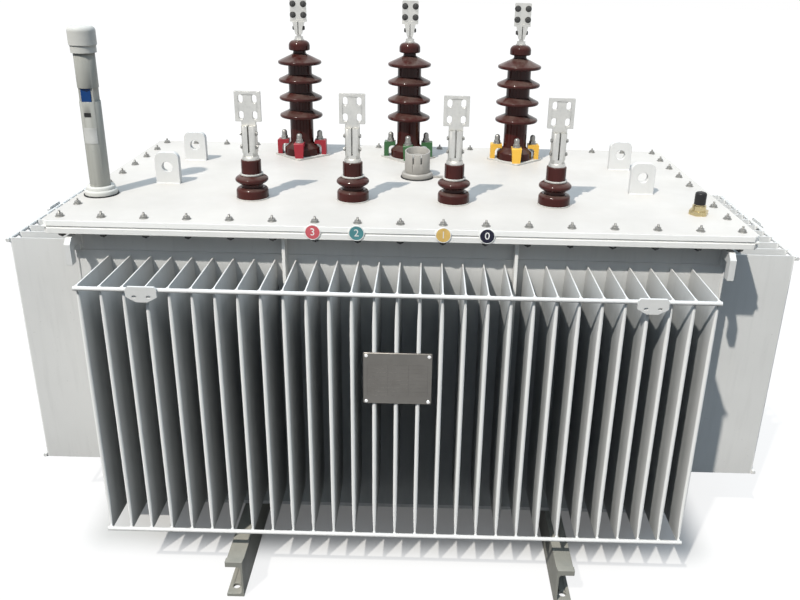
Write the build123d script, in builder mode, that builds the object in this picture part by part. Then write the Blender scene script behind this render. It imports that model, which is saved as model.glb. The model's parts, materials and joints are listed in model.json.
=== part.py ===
"""Three-phase oil-filled power transformer: finned tank, bolted cover, bushings and fittings."""
import os
from math import cos, radians, sin, sqrt

from build123d import *

os.makedirs("parts", exist_ok=True)

# Skids
skid_height = 100.0
skid_flange_width = 43.0
skid_flange_thickness = 9.0
skid_web_thickness = 6.0
skid_root_radius = 8.0
skid_length = 1226.0
skid_gauge = 773.0
skid_offset = 15.0
skid_hole_diameter = 18.0
skid_hole_inset = 28.0
skid_bar_width = 16.0
skid_bar_height = 6.0

# Tank box
tank_length = 1554.0
tank_depth = 760.0
floor_thickness = 10.0
wall_thickness = 5.0

# Flange frame, gasket and cover
flange_projection = 53.0
flange_thickness = 14.0
gasket_thickness = 4.0
gasket_recess = 2.0
gasket_joint = 0.5
cover_thickness = 14.0
corner_cut = 14.0

# Fins and the bars across their noses
fin_pitch = 50.0
fin_thickness = 9.5
fin_seam_thickness = 3.0
fin_pinch_length = 110.0
fin_height = 654.0
fin_floor_clearance = 63.0
fin_head_room = 69.0
front_fin_count = 29
front_fin_depth = 190.0
side_fin_count = 12
side_fin_depth = 216.0
bar_diameter = 10.0
bar_overhang = 6.0
bar_inset = 6.0

# Tie-down ears on the upper bars
ear_width = 68.0
ear_height = 36.0
ear_rise = 11.0
ear_foot_width = 24.0
ear_foot_height = 12.0
ear_corner = 5.0
ear_thickness = 6.0
ear_spacing = 1110.0
ear_slot_length = 10.0
ear_slot_width = 6.0
ear_slot_spacing = 31.0
ear_slot_drop = 12.0

# Stiffening ribs on the long walls
rib_spacing = 550.0
rib_thickness = 8.0
rib_depth = 30.0

# Lifting hooks at the tank corners
hook_thickness = 15.0
hook_reach = 65.0
hook_height = 65.0
hook_drop = 9.0
hook_lip_width = 22.0
hook_root_width = 14.0
hook_root_height = 45.0
hook_bar_height = 26.0

# Upright lugs on the cover
lug_width = 64.0
lug_height = 85.0
lug_corner_radius = 18.0
lug_thickness = 18.0
lug_hole_diameter = 28.0
lug_hole_height = 46.0
lug_spacing = 1274.0
lug_front_distance = 345.0
lug_back_distance = 256.0

# High-voltage bushings
hv_pitch = 331.0
hv_edge_distance = 158.0
hv_base_side = 126.0
hv_base_corner = 10.0
hv_base_thickness = 5.0
hv_collar_diameter = 108.0
hv_collar_height = 21.0
hv_shoulder_height = 16.0
hv_body_diameter = 71.0
hv_shed_diameter = 130.0
hv_shed_edge = 10.0
hv_shed_rise = 14.0
hv_shed_undercut = 3.0
hv_shed_pitch = 53.0
hv_shed_count = 4
hv_lowest_shed = 124.0
hv_glaze_radius = 5.5
hv_neck_diameter = 38.0
hv_head_level = 319.0
hv_head_diameter = 63.0
hv_head_height = 29.0
hv_head_round = 16.0
hv_head_edge = 4.0

# Metal on top of the high-voltage bushings
hv_washer_diameter = 30.0
hv_washer_thickness = 3.0
hv_nut_flats = 22.0
hv_nut_height = 8.0
hv_stud_diameter = 14.0
hv_stud_height = 17.0
hv_jaw_foot_width = 17.0
hv_jaw_top_width = 33.0
hv_jaw_height = 36.0
hv_jaw_depth = 26.0
hv_jaw_slit = 3.0
hv_shelf_depth = 18.0
hv_shelf_thickness = 6.0
palm_width = 48.0
palm_height = 66.0
palm_thickness = 8.0
palm_corner = 4.0
palm_hole_diameter = 13.0
palm_hole_spacing = 31.0
palm_hole_distance = 31.5

# Finger clamps of the high-voltage bushings
hv_clamp_leg_outer = 75.0
hv_clamp_leg_inner = 61.0
hv_clamp_finger_tip = 40.0
hv_clamp_finger_thickness = 12.0
hv_clamp_arch = 11.0
hv_clamp_round = 4.0
hv_clamp_width = 30.0
hv_clamp_foot_width = 24.0
hv_clamp_gap = 0.3

# Low-voltage bushings
lv_pitch = 257.0
lv_edge_distance = 226.0
lv_base_diameter = 84.0
lv_base_thickness = 3.0
lv_bell_diameter = 81.0
lv_bell_height = 26.0
lv_bell_round = 10.0
lv_waist_diameter = 54.0
lv_shed_diameter = 83.0
lv_shed_height = 30.0
lv_shed_gap = 5.0
lv_ring_diameter = 58.0
lv_ring_height = 4.0
lv_neck_diameter = 50.0
lv_neck_height = 36.0
lv_neck_round = 3.0
lv_cone_top_diameter = 40.0
lv_cone_height = 9.0
lv_nut_flats = 32.0
lv_nut_height = 9.0
lv_clamp_width = 36.0
lv_clamp_depth = 34.0
lv_clamp_height = 67.0
lv_clamp_round = 8.0
lv_clamp_slit = 4.0
flag_tongue_width = 36.0
flag_tongue_height = 10.0
flag_width = 64.0
flag_height = 74.0
flag_thickness = 10.0
flag_slot_length = 20.0
flag_slot_width = 12.5
flag_slot_spacing_across = 34.0
flag_slot_spacing_up = 40.0
flag_slot_top_margin = 18.0

# Oil level and filling tube
gauge_side_distance = 56.0
gauge_front_distance = 225.0
gauge_flange_diameter = 80.0
gauge_flange_height = 15.0
gauge_flange_round = 5.0
gauge_tube_diameter = 50.0
gauge_tube_height = 338.0
gauge_ring_diameter = 60.0
gauge_ring_height = 18.0
gauge_cap_diameter = 65.0
gauge_cap_height = 44.0
gauge_cap_round = 12.0
gauge_window_count = 4
gauge_window_level = 237.0
gauge_window_height = 33.0
gauge_window_depth = 7.0
gauge_pane_count = 2
gauge_pane_width = 24.0
gauge_pane_thickness = 2.0
gauge_slot_level = 200.0
gauge_slot_width = 17.0
gauge_slot_height = 11.0
gauge_slot_depth = 5.0

# Pressure relief valve
valve_place_across = 32.0
valve_place_along = 33.0
valve_flange_diameter = 88.0
valve_flange_height = 16.0
valve_flange_round = 5.0
valve_hood_diameter = 71.0
valve_hood_wall = 4.0
valve_hood_height = 60.0
valve_rim_slant = 8.0
valve_slot_width = 4.0
valve_slot_spacing = 22.0
valve_slot_level = 28.0
valve_core_clearance = 2.0
valve_core_height = 46.0
valve_core_round = 4.0
valve_tongue_reach = 30.0
valve_tongue_width = 14.0
valve_tongue_thickness = 4.0

# Plug with its cap
plug_side_distance = 93.0
plug_front_distance = 168.0
plug_flats = 42.0
plug_hex_height = 11.0
plug_collar_diameter = 33.0
plug_collar_height = 12.0
plug_neck_diameter = 22.0
plug_neck_height = 3.0
plug_cap_diameter = 28.0
plug_cap_height = 31.0
plug_cap_round = 6.0

# Levels and lines that the pieces share
wall_base = skid_height + floor_thickness
fin_base = skid_height + fin_floor_clearance
flange_base = fin_base + fin_height + fin_head_room
tank_top = flange_base + flange_thickness
cover_base = tank_top + gasket_thickness
cover_top = cover_base + cover_thickness
cover_length = tank_length + 2 * flange_projection
cover_depth = tank_depth + 2 * flange_projection
upper_bar_level = fin_base + fin_height - bar_inset
lower_bar_level = fin_base + bar_inset
front_tip = tank_depth / 2 + front_fin_depth
side_tip = tank_length / 2 + side_fin_depth
front_bank_length = (front_fin_count - 1) * fin_pitch
side_bank_length = (side_fin_count - 1) * fin_pitch
hv_line = cover_depth / 2 - hv_edge_distance
lv_line = lv_edge_distance - cover_depth / 2
hv_rows = [(step * hv_pitch, hv_line) for step in (-1, 0, 1)]
lv_rows = [(step * lv_pitch, lv_line) for step in (-1.5, -0.5, 0.5, 1.5)]


def save(part, name):
    """Label a finished piece and write it under its own name."""
    part.label = name
    export_step(part, f"parts/{name}.step")


def make_skid(side):
    """A channel with its web inside and its flanges outward; side is -1 for left and 1 for right."""
    web_face = skid_offset + side * skid_gauge / 2
    outward = Align.MIN if side > 0 else Align.MAX
    flange_middle = skid_web_thickness + (skid_flange_width - skid_web_thickness) / 2
    hole_place = skid_length / 2 - skid_hole_inset
    bar_place = (skid_length - skid_bar_width) / 2
    with BuildPart() as channel:
        with BuildSketch(Plane.XZ) as section:
            with Locations((web_face, 0)):
                Rectangle(skid_flange_width, skid_height, align=(outward, Align.MIN))
            with Locations((web_face + side * skid_web_thickness, skid_flange_thickness)):
                Rectangle(
                    skid_flange_width - skid_web_thickness,
                    skid_height - 2 * skid_flange_thickness,
                    align=(outward, Align.MIN),
                    mode=Mode.SUBTRACT,
                )
            web_middle = (web_face + side * skid_web_thickness, skid_height / 2)
            roots = section.vertices().sort_by_distance(web_middle)
            fillet(roots[:2], skid_root_radius)
        extrude(amount=skid_length / 2, both=True)
        with Locations((web_face, bar_place, skid_height), (web_face, -bar_place, skid_height)):
            Box(skid_flange_width, skid_bar_width, skid_bar_height, align=(outward, Align.CENTER, Align.MIN))
        with Locations(
            (web_face + side * flange_middle, hole_place, skid_flange_thickness / 2),
            (web_face + side * flange_middle, -hole_place, skid_flange_thickness / 2),
        ):
            Cylinder(skid_hole_diameter / 2, skid_flange_thickness, mode=Mode.SUBTRACT)
    return channel.part


def make_fin(depth):
    """One folded fin on a wall at Y zero, its nose towards -Y and its two ends pinched to a seam."""
    half = fin_thickness / 2
    seam = fin_seam_thickness / 2
    top = fin_base + fin_height
    with BuildPart() as fin:
        with BuildSketch(Plane.XY.offset(fin_base)):
            with BuildLine():
                Polyline((half, half - depth), (half, 0), (-half, 0), (-half, half - depth))
                ThreePointArc((-half, half - depth), (0, -depth), (half, half - depth))
            make_face()
        extrude(amount=fin_height)
        with BuildSketch(Plane.XZ):
            with BuildLine():
                flank = Line((half, fin_base + fin_pinch_length), (half, top - fin_pinch_length))
                foot = TangentArc(flank @ 0, (seam, fin_base), tangent=(0, -1))
                head = TangentArc(flank @ 1, (seam, top), tangent=(0, 1))
                Polyline(foot @ 1, (0, fin_base), (0, top), head @ 1)
            make_face()
            mirror(about=Plane.YZ)
        extrude(amount=depth, mode=Mode.INTERSECT)
    return fin.part


def make_ear():
    """An upright ear on the bar in front of fin noses at Y zero, cut back below and slotted twice."""
    side = ear_width / 2
    foot = ear_foot_width / 2
    top = upper_bar_level + ear_rise
    base = top - ear_height
    slot_level = upper_bar_level - ear_slot_drop
    with BuildPart() as ear:
        with BuildSketch(Plane.XZ.offset(bar_diameter)) as outline:
            with BuildLine():
                Polyline(
                    (foot, base),
                    (side, base + ear_foot_height),
                    (side, top),
                    (-side, top),
                    (-side, base + ear_foot_height),
                    (-foot, base),
                )
                Line((-foot, base), (foot, base))
            make_face()
            chamfer(outline.vertices().group_by(Axis.Y)[-1], ear_corner)
            with Locations((-ear_slot_spacing / 2, slot_level), (ear_slot_spacing / 2, slot_level)):
                SlotOverall(ear_slot_length, ear_slot_width, mode=Mode.SUBTRACT)
        extrude(amount=ear_thickness)
    return ear.part


# Skids
save(make_skid(-1), "skid_left")
save(make_skid(1), "skid_right")

# Tank box
with BuildPart() as tank_floor:
    with Locations((0, 0, skid_height)):
        Box(tank_length, tank_depth, floor_thickness, align=(Align.CENTER, Align.CENTER, Align.MIN))
save(tank_floor.part, "tank_floor")

wall_height = tank_top - wall_base
with BuildPart() as front_wall:
    with Locations((0, -tank_depth / 2, wall_base)):
        Box(tank_length, wall_thickness, wall_height, align=(Align.CENTER, Align.MIN, Align.MIN))
save(front_wall.part, "front_wall")

with BuildPart() as back_wall:
    mirror(front_wall.part, about=Plane.XZ)
save(back_wall.part, "back_wall")

with BuildPart() as left_wall:
    with Locations((-tank_length / 2, 0, wall_base)):
        Box(
            wall_thickness,
            tank_depth - 2 * wall_thickness,
            wall_height,
            align=(Align.MIN, Align.CENTER, Align.MIN),
        )
save(left_wall.part, "left_wall")

with BuildPart() as right_wall:
    mirror(left_wall.part, about=Plane.YZ)
save(right_wall.part, "right_wall")

# Flange frame round the mouth of the tank
with BuildPart() as flange_long_bars:
    with BuildSketch(Plane.XY.offset(flange_base)) as frame_outline:
        Rectangle(cover_length, cover_depth)
        chamfer(frame_outline.vertices(), corner_cut)
        Rectangle(cover_length, tank_depth, mode=Mode.SUBTRACT)
    extrude(amount=flange_thickness)
save(flange_long_bars.part, "flange_long_bars")

with BuildPart() as flange_short_bars:
    with BuildSketch(Plane.XY.offset(flange_base)):
        Rectangle(cover_length, tank_depth)
        Rectangle(tank_length, tank_depth, mode=Mode.SUBTRACT)
    extrude(amount=flange_thickness)
save(flange_short_bars.part, "flange_short_bars")

# Gasket strips and the cover
gasket_length = cover_length - 2 * gasket_recess
gasket_depth = cover_depth - 2 * gasket_recess
gasket_width = flange_projection - gasket_recess + wall_thickness
with BuildPart() as cover_gasket:
    with BuildSketch(Plane.XY.offset(tank_top)):
        Rectangle(gasket_length, gasket_depth)
        Rectangle(gasket_length - 2 * gasket_width, gasket_depth - 2 * gasket_width, mode=Mode.SUBTRACT)
        joint_place = gasket_depth / 2 - gasket_width - gasket_joint / 2
        with Locations((0, joint_place), (0, -joint_place)):
            Rectangle(gasket_length, gasket_joint, mode=Mode.SUBTRACT)
    extrude(amount=gasket_thickness)
save(cover_gasket.part, "cover_gasket")

with BuildPart() as cover:
    with BuildSketch(Plane.XY.offset(cover_base)) as cover_outline:
        Rectangle(cover_length, cover_depth)
        chamfer(cover_outline.vertices(), corner_cut)
    extrude(amount=cover_thickness)
save(cover.part, "cover")

# Cooling fins
front_places = [step * fin_pitch - front_bank_length / 2 for step in range(front_fin_count)]
side_places = [step * fin_pitch - side_bank_length / 2 for step in range(side_fin_count)]
front_fin = make_fin(front_fin_depth)
side_fin = make_fin(side_fin_depth)

with BuildPart() as front_fins:
    with Locations([(place, -tank_depth / 2, 0) for place in front_places]):
        add(front_fin)
save(front_fins.part, "front_fins")

with BuildPart() as back_fins:
    mirror(front_fins.part, about=Plane.XZ)
save(back_fins.part, "back_fins")

with BuildPart() as left_fins:
    with Locations([Location((-tank_length / 2, place, 0), (0, 0, -90)) for place in side_places]):
        add(side_fin)
save(left_fins.part, "left_fins")

with BuildPart() as right_fins:
    mirror(left_fins.part, about=Plane.YZ)
save(right_fins.part, "right_fins")

# Round bars across the fin noses
front_bar_line = -(front_tip + bar_diameter / 2)
with BuildPart() as front_fin_bars:
    with Locations((0, front_bar_line, lower_bar_level), (0, front_bar_line, upper_bar_level)):
        Cylinder(bar_diameter / 2, front_bank_length + 2 * bar_overhang, rotation=(0, 90, 0))
save(front_fin_bars.part, "front_fin_bars")

with BuildPart() as back_fin_bars:
    mirror(front_fin_bars.part, about=Plane.XZ)
save(back_fin_bars.part, "back_fin_bars")

side_bar_line = -(side_tip + bar_diameter / 2)
with BuildPart() as left_fin_bars:
    with Locations((side_bar_line, 0, lower_bar_level), (side_bar_line, 0, upper_bar_level)):
        Cylinder(bar_diameter / 2, side_bank_length + 2 * bar_overhang, rotation=(90, 0, 0))
save(left_fin_bars.part, "left_fin_bars")

with BuildPart() as right_fin_bars:
    mirror(left_fin_bars.part, about=Plane.YZ)
save(right_fin_bars.part, "right_fin_bars")

# Tie-down ears
with BuildPart() as tie_down_ears:
    with Locations(
        Location((-ear_spacing / 2, -front_tip, 0)),
        Location((ear_spacing / 2, -front_tip, 0)),
        Location((-ear_spacing / 2, front_tip, 0), (0, 0, 180)),
        Location((ear_spacing / 2, front_tip, 0), (0, 0, 180)),
        Location((-side_tip, 0, 0), (0, 0, -90)),
        Location((side_tip, 0, 0), (0, 0, 90)),
    ):
        add(make_ear())
save(tie_down_ears.part, "tie_down_ears")

# Stiffening ribs between the fins of the long walls
rib_place = tank_depth / 2 + rib_depth / 2
with BuildPart() as wall_ribs:
    with Locations(
        (-rib_spacing / 2, -rib_place, skid_height),
        (rib_spacing / 2, -rib_place, skid_height),
        (-rib_spacing / 2, rib_place, skid_height),
        (rib_spacing / 2, rib_place, skid_height),
    ):
        Box(
            rib_thickness,
            rib_depth,
            flange_base - skid_height,
            align=(Align.CENTER, Align.CENTER, Align.MIN),
        )
save(wall_ribs.part, "wall_ribs")

# Lifting hooks, each an arm with a root against the wall and a lip that hangs in front
hook_top = flange_base - hook_drop
hook_place = tank_length / 2 - hook_thickness
with BuildPart() as lifting_hooks:
    with BuildSketch(Plane.YZ.offset(hook_place)) as hook_outline:
        with Locations((-tank_depth / 2, hook_top)):
            Rectangle(hook_reach, hook_height, align=(Align.MAX, Align.MAX))
        chamfer(hook_outline.vertices().group_by(Axis.X)[0].sort_by(Axis.Y)[-1], hook_root_width)
        notch_width = hook_reach - hook_lip_width - hook_root_width
        with Locations((-tank_depth / 2 - hook_root_width, hook_top - hook_bar_height)):
            Rectangle(notch_width, hook_height, align=(Align.MAX, Align.MAX), mode=Mode.SUBTRACT)
        with Locations((-tank_depth / 2, hook_top - hook_root_height)):
            Rectangle(hook_root_width, hook_height, align=(Align.MAX, Align.MAX), mode=Mode.SUBTRACT)
    extrude(amount=hook_thickness)
    mirror(about=Plane.YZ)
    mirror(about=Plane.XZ)
save(lifting_hooks.part, "lifting_hooks")

# Upright lugs on the cover
lug_lines = (lug_front_distance - cover_depth / 2, cover_depth / 2 - lug_back_distance)
with BuildPart() as cover_lugs:
    for line in lug_lines:
        with BuildSketch(Plane.XZ.offset(-line)) as lug_outline:
            with Locations((-lug_spacing / 2, cover_top), (lug_spacing / 2, cover_top)):
                Rectangle(lug_width, lug_height, align=(Align.CENTER, Align.MIN))
            fillet(lug_outline.vertices().group_by(Axis.Y)[-1], lug_corner_radius)
            with Locations(
                (-lug_spacing / 2, cover_top + lug_hole_height),
                (lug_spacing / 2, cover_top + lug_hole_height),
            ):
                Circle(lug_hole_diameter / 2, mode=Mode.SUBTRACT)
        extrude(amount=lug_thickness / 2, both=True)
save(cover_lugs.part, "cover_lugs")

# High-voltage bushings, each seated on a square plate whose corners carry the clamps
hv_collar_base = cover_top + hv_base_thickness
hv_shoulder_base = hv_collar_base + hv_collar_height
hv_shoulder_top = hv_shoulder_base + hv_shoulder_height
hv_head_base = cover_top + hv_head_level
hv_head_top = hv_head_base + hv_head_height

with BuildPart() as hv_bases:
    with BuildSketch(Plane.XY.offset(cover_top)):
        with Locations(hv_rows):
            RectangleRounded(hv_base_side, hv_base_side, hv_base_corner, rotation=45)
    extrude(amount=hv_base_thickness)
save(hv_bases.part, "hv_bases")

# Porcelain outline from the foot up: collar, shoulder, then the sheds, whose topmost runs into the neck
hv_outline = [
    (hv_collar_diameter / 2, hv_collar_base),
    (hv_collar_diameter / 2, hv_shoulder_base),
    (hv_body_diameter / 2, hv_shoulder_top),
]
shed_slope_share = hv_shed_rise / (hv_shed_diameter - hv_body_diameter)
for step in range(hv_shed_count):
    edge_base = cover_top + hv_lowest_shed + step * hv_shed_pitch - hv_shed_edge / 2
    stem_diameter = hv_neck_diameter if step == hv_shed_count - 1 else hv_body_diameter
    rise = shed_slope_share * (hv_shed_diameter - stem_diameter)
    hv_outline += [
        (hv_body_diameter / 2, edge_base + hv_shed_undercut),
        (hv_shed_diameter / 2, edge_base),
        (hv_shed_diameter / 2, edge_base + hv_shed_edge),
        (stem_diameter / 2, edge_base + hv_shed_edge + rise),
    ]
hv_outline.append((hv_neck_diameter / 2, hv_head_base))

with BuildPart() as hv_porcelain:
    with BuildSketch(Plane.XZ):
        with BuildLine():
            FilletPolyline(*hv_outline, radius=hv_glaze_radius)
            Polyline(hv_outline[-1], (0, hv_head_base), (0, hv_collar_base), hv_outline[0])
        make_face()
    revolve(axis=Axis.Z)
    with BuildSketch(Plane.XZ) as head_profile:
        with Locations((0, hv_head_base)):
            Rectangle(hv_head_diameter / 2, hv_head_height, align=(Align.MIN, Align.MIN))
        fillet(head_profile.vertices().group_by(Axis.X)[-1].sort_by(Axis.Y)[-1], hv_head_round)
        fillet(head_profile.vertices().group_by(Axis.X)[-1].sort_by(Axis.Y)[0], hv_head_edge)
    revolve(axis=Axis.Z)

with BuildPart() as hv_porcelains:
    with Locations(hv_rows):
        add(hv_porcelain.part)
save(hv_porcelains.part, "hv_porcelains")

# Finger clamps that hold each bushing's shoulder down, in one colour for each phase
cone_run = hv_collar_diameter / 2 - hv_body_diameter / 2
cone_run_share = (hv_collar_diameter / 2 - hv_clamp_finger_tip) / cone_run
finger_base = hv_shoulder_base + hv_shoulder_height * cone_run_share + hv_clamp_gap
finger_top = finger_base + hv_clamp_finger_thickness
with BuildPart() as hv_clamp:
    with BuildSketch(Plane.XZ) as clamp_profile:
        with BuildLine():
            arch = TangentArc(
                (hv_clamp_leg_inner, finger_base - hv_clamp_arch),
                (hv_clamp_leg_inner - hv_clamp_arch, finger_base),
                tangent=(0, 1),
            )
            Polyline(
                arch @ 1,
                (hv_clamp_finger_tip, finger_base),
                (hv_clamp_finger_tip, finger_top),
                (hv_clamp_leg_outer, finger_top),
                (hv_clamp_leg_outer, hv_collar_base),
                (hv_clamp_leg_inner, hv_collar_base),
                arch @ 0,
            )
        make_face()
        fillet(clamp_profile.vertices().group_by(Axis.X)[-1].sort_by(Axis.Y)[-1], hv_clamp_round)
    extrude(amount=hv_clamp_width / 2, both=True)
    with BuildSketch(Plane.YZ):
        with BuildLine():
            Polyline(
                (hv_clamp_foot_width / 2, hv_collar_base),
                (hv_clamp_width / 2, finger_top),
                (-hv_clamp_width / 2, finger_top),
                (-hv_clamp_foot_width / 2, hv_collar_base),
                close=True,
            )
        make_face()
    extrude(amount=hv_clamp_leg_outer, mode=Mode.INTERSECT)

for (across, along), colour in zip(hv_rows, ("red", "green", "yellow")):
    with BuildPart() as hv_clamps:
        with Locations((across, along, 0)):
            with PolarLocations(0, 4):
                add(hv_clamp.part)
    save(hv_clamps.part, f"hv_clamps_{colour}")

# Washer, nut and stud on each head
with BuildPart() as hv_caps:
    with BuildSketch(Plane.XY.offset(hv_head_top)):
        with Locations(hv_rows):
            Circle(hv_washer_diameter / 2)
    extrude(amount=hv_washer_thickness)
    with BuildSketch(Plane.XY.offset(hv_head_top)):
        with Locations(hv_rows):
            RegularPolygon(hv_nut_flats / 2, 6, major_radius=False)
    extrude(amount=hv_washer_thickness + hv_nut_height)
    with BuildSketch(Plane.XY.offset(hv_head_top)):
        with Locations(hv_rows):
            Circle(hv_stud_diameter / 2)
    extrude(amount=hv_stud_height)
save(hv_caps.part, "hv_caps")

# Terminals: a split jaw that widens upwards and a palm with four holes
hv_jaw_base = hv_head_top + hv_stud_height
palm_base = hv_jaw_base + hv_jaw_height
palm_top = palm_base + palm_height
with BuildPart() as hv_terminal:
    with BuildSketch(Plane.XZ):
        with BuildLine():
            Polyline(
                (hv_jaw_foot_width / 2, hv_jaw_base),
                (hv_jaw_top_width / 2, palm_base),
                (-hv_jaw_top_width / 2, palm_base),
                (-hv_jaw_foot_width / 2, hv_jaw_base),
                close=True,
            )
        make_face()
    extrude(amount=hv_jaw_depth / 2, both=True)
    with Locations((0, -hv_jaw_depth / 2, hv_jaw_base)):
        Box(
            hv_jaw_slit,
            hv_jaw_depth / 2,
            hv_jaw_height,
            align=(Align.CENTER, Align.MIN, Align.MIN),
            mode=Mode.SUBTRACT,
        )
    with Locations((0, 0, palm_base)):
        Box(palm_width, hv_shelf_depth, hv_shelf_thickness, align=(Align.CENTER, Align.CENTER, Align.MIN))
    with BuildSketch(Plane.XZ) as palm_outline:
        with Locations((0, palm_base)):
            Rectangle(palm_width, palm_height, align=(Align.CENTER, Align.MIN))
        fillet(palm_outline.vertices().group_by(Axis.Y)[-1], palm_corner)
        with Locations((0, palm_top - palm_hole_distance)):
            with GridLocations(palm_hole_spacing, palm_hole_spacing, 2, 2):
                Circle(palm_hole_diameter / 2, mode=Mode.SUBTRACT)
    extrude(amount=palm_thickness / 2, both=True)

with BuildPart() as hv_terminals:
    with Locations(hv_rows):
        add(hv_terminal.part)
save(hv_terminals.part, "hv_terminals")

# Low-voltage bushings: a bell, a lens-shaped shed and a plain neck
lv_bell_base = cover_top + lv_base_thickness
lv_bell_top = lv_bell_base + lv_bell_height
lv_shed_middle = lv_bell_top + lv_shed_gap + lv_shed_height / 2
lv_ring_base = lv_shed_middle + lv_shed_height / 2 * sqrt(1 - (lv_neck_diameter / lv_shed_diameter) ** 2)
lv_neck_top = lv_shed_middle + lv_shed_height / 2 + lv_neck_height
lv_nut_base = lv_neck_top + lv_cone_height
lv_clamp_base = lv_nut_base + lv_nut_height
flag_tongue_base = lv_clamp_base + lv_clamp_height
flag_base = flag_tongue_base + flag_tongue_height

# Seats under the bells, and the pale rings that lie on the sheds round the necks
with BuildPart() as lv_bases:
    with BuildSketch(Plane.XY.offset(cover_top)):
        with Locations(lv_rows):
            Circle(lv_base_diameter / 2)
    extrude(amount=lv_base_thickness)
    with BuildSketch(Plane.XY.offset(lv_ring_base)):
        with Locations(lv_rows):
            Circle(lv_ring_diameter / 2)
            Circle(lv_neck_diameter / 2, mode=Mode.SUBTRACT)
    extrude(amount=lv_ring_height)
save(lv_bases.part, "lv_bases")

with BuildPart() as lv_porcelain:
    with BuildSketch(Plane.XZ) as bell_profile:
        with Locations((0, lv_bell_base)):
            Rectangle(lv_bell_diameter / 2, lv_bell_height, align=(Align.MIN, Align.MIN))
        fillet(bell_profile.vertices().group_by(Axis.X)[-1].sort_by(Axis.Y)[-1], lv_bell_round)
        with Locations((0, lv_bell_base)):
            Rectangle(lv_waist_diameter / 2, lv_shed_middle - lv_bell_base, align=(Align.MIN, Align.MIN))
    revolve(axis=Axis.Z)
    with BuildSketch(Plane.XZ) as neck_profile:
        with Locations((0, lv_shed_middle)):
            Rectangle(lv_neck_diameter / 2, lv_neck_top - lv_shed_middle, align=(Align.MIN, Align.MIN))
        fillet(neck_profile.vertices().group_by(Axis.X)[-1].sort_by(Axis.Y)[-1], lv_neck_round)
        with BuildLine():
            lens = EllipticalCenterArc(
                (0, lv_shed_middle), lv_shed_diameter / 2, lv_shed_height / 2, start_angle=-90, arc_size=180
            )
            Line(lens @ 1, lens @ 0)
        make_face()
    revolve(axis=Axis.Z)

with BuildPart() as lv_porcelains:
    with Locations(lv_rows):
        add(lv_porcelain.part)
save(lv_porcelains.part, "lv_porcelains")

# Bright cone and nut on each neck
neck_seat_diameter = lv_neck_diameter - 2 * lv_neck_round
with BuildPart() as lv_nuts:
    with Locations([(across, along, lv_neck_top) for across, along in lv_rows]):
        Cone(
            neck_seat_diameter / 2,
            lv_cone_top_diameter / 2,
            lv_cone_height,
            align=(Align.CENTER, Align.CENTER, Align.MIN),
        )
    with BuildSketch(Plane.XY.offset(lv_nut_base)):
        with Locations(lv_rows):
            RegularPolygon(lv_nut_flats / 2, 6, major_radius=False)
    extrude(amount=lv_nut_height)
save(lv_nuts.part, "lv_nuts")

with BuildPart() as lv_clamps:
    with BuildSketch(Plane.XY.offset(lv_clamp_base)):
        with Locations(lv_rows):
            RectangleRounded(lv_clamp_width, lv_clamp_depth, lv_clamp_round)
        with Locations([(across, along - lv_clamp_depth / 4) for across, along in lv_rows]):
            Rectangle(lv_clamp_slit, lv_clamp_depth / 2, mode=Mode.SUBTRACT)
    extrude(amount=lv_clamp_height)
save(lv_clamps.part, "lv_clamps")

slot_middle = flag_base + flag_height - flag_slot_top_margin - flag_slot_spacing_up / 2
with BuildPart() as lv_flags:
    with BuildSketch(Plane.XZ.offset(-lv_line)):
        with Locations([(across, flag_tongue_base) for across, along in lv_rows]):
            Rectangle(flag_tongue_width, flag_tongue_height, align=(Align.CENTER, Align.MIN))
        with Locations([(across, flag_base) for across, along in lv_rows]):
            Rectangle(flag_width, flag_height, align=(Align.CENTER, Align.MIN))
        with Locations([(across, slot_middle) for across, along in lv_rows]):
            with GridLocations(flag_slot_spacing_across, flag_slot_spacing_up, 2, 2):
                SlotOverall(flag_slot_length, flag_slot_width, rotation=90, mode=Mode.SUBTRACT)
    extrude(amount=flag_thickness / 2, both=True)
save(lv_flags.part, "lv_flags")

# Oil level and filling tube
gauge_place = (gauge_side_distance - cover_length / 2, gauge_front_distance - cover_depth / 2)
gauge_tube_base = cover_top + gauge_flange_height
gauge_ring_base = gauge_tube_base + gauge_tube_height
gauge_cap_base = gauge_ring_base + gauge_ring_height

with BuildPart() as gauge_base:
    with BuildSketch(Plane.XY.offset(cover_top)):
        with Locations(gauge_place):
            Circle(gauge_flange_diameter / 2)
    extrude(amount=gauge_flange_height)
    fillet(gauge_base.edges().group_by(Axis.Z)[-1], gauge_flange_round)
save(gauge_base.part, "gauge_base")

# The tube has four flats, panes on the front and back ones, and a slot below the front one
with BuildPart() as gauge_tube:
    with BuildSketch(Plane.XY.offset(gauge_tube_base)):
        with Locations(gauge_place):
            Circle(gauge_tube_diameter / 2)
    extrude(amount=gauge_tube_height)
    with Locations((*gauge_place, cover_top + gauge_window_level)):
        with PolarLocations(gauge_tube_diameter / 2, gauge_window_count):
            Box(
                2 * gauge_window_depth,
                gauge_tube_diameter,
                gauge_window_height,
                align=(Align.CENTER, Align.CENTER, Align.MIN),
                mode=Mode.SUBTRACT,
            )
    with Locations((gauge_place[0], gauge_place[1] - gauge_tube_diameter / 2, cover_top + gauge_slot_level)):
        Box(
            gauge_slot_width,
            2 * gauge_slot_depth,
            gauge_slot_height,
            align=(Align.CENTER, Align.CENTER, Align.MIN),
            mode=Mode.SUBTRACT,
        )
save(gauge_tube.part, "gauge_tube")

with BuildPart() as gauge_window:
    with Locations((*gauge_place, cover_top + gauge_window_level)):
        with PolarLocations(gauge_tube_diameter / 2 - gauge_window_depth, gauge_pane_count, start_angle=90):
            Box(
                gauge_pane_thickness,
                gauge_pane_width,
                gauge_window_height,
                align=(Align.MIN, Align.CENTER, Align.MIN),
            )
save(gauge_window.part, "gauge_window")

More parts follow.
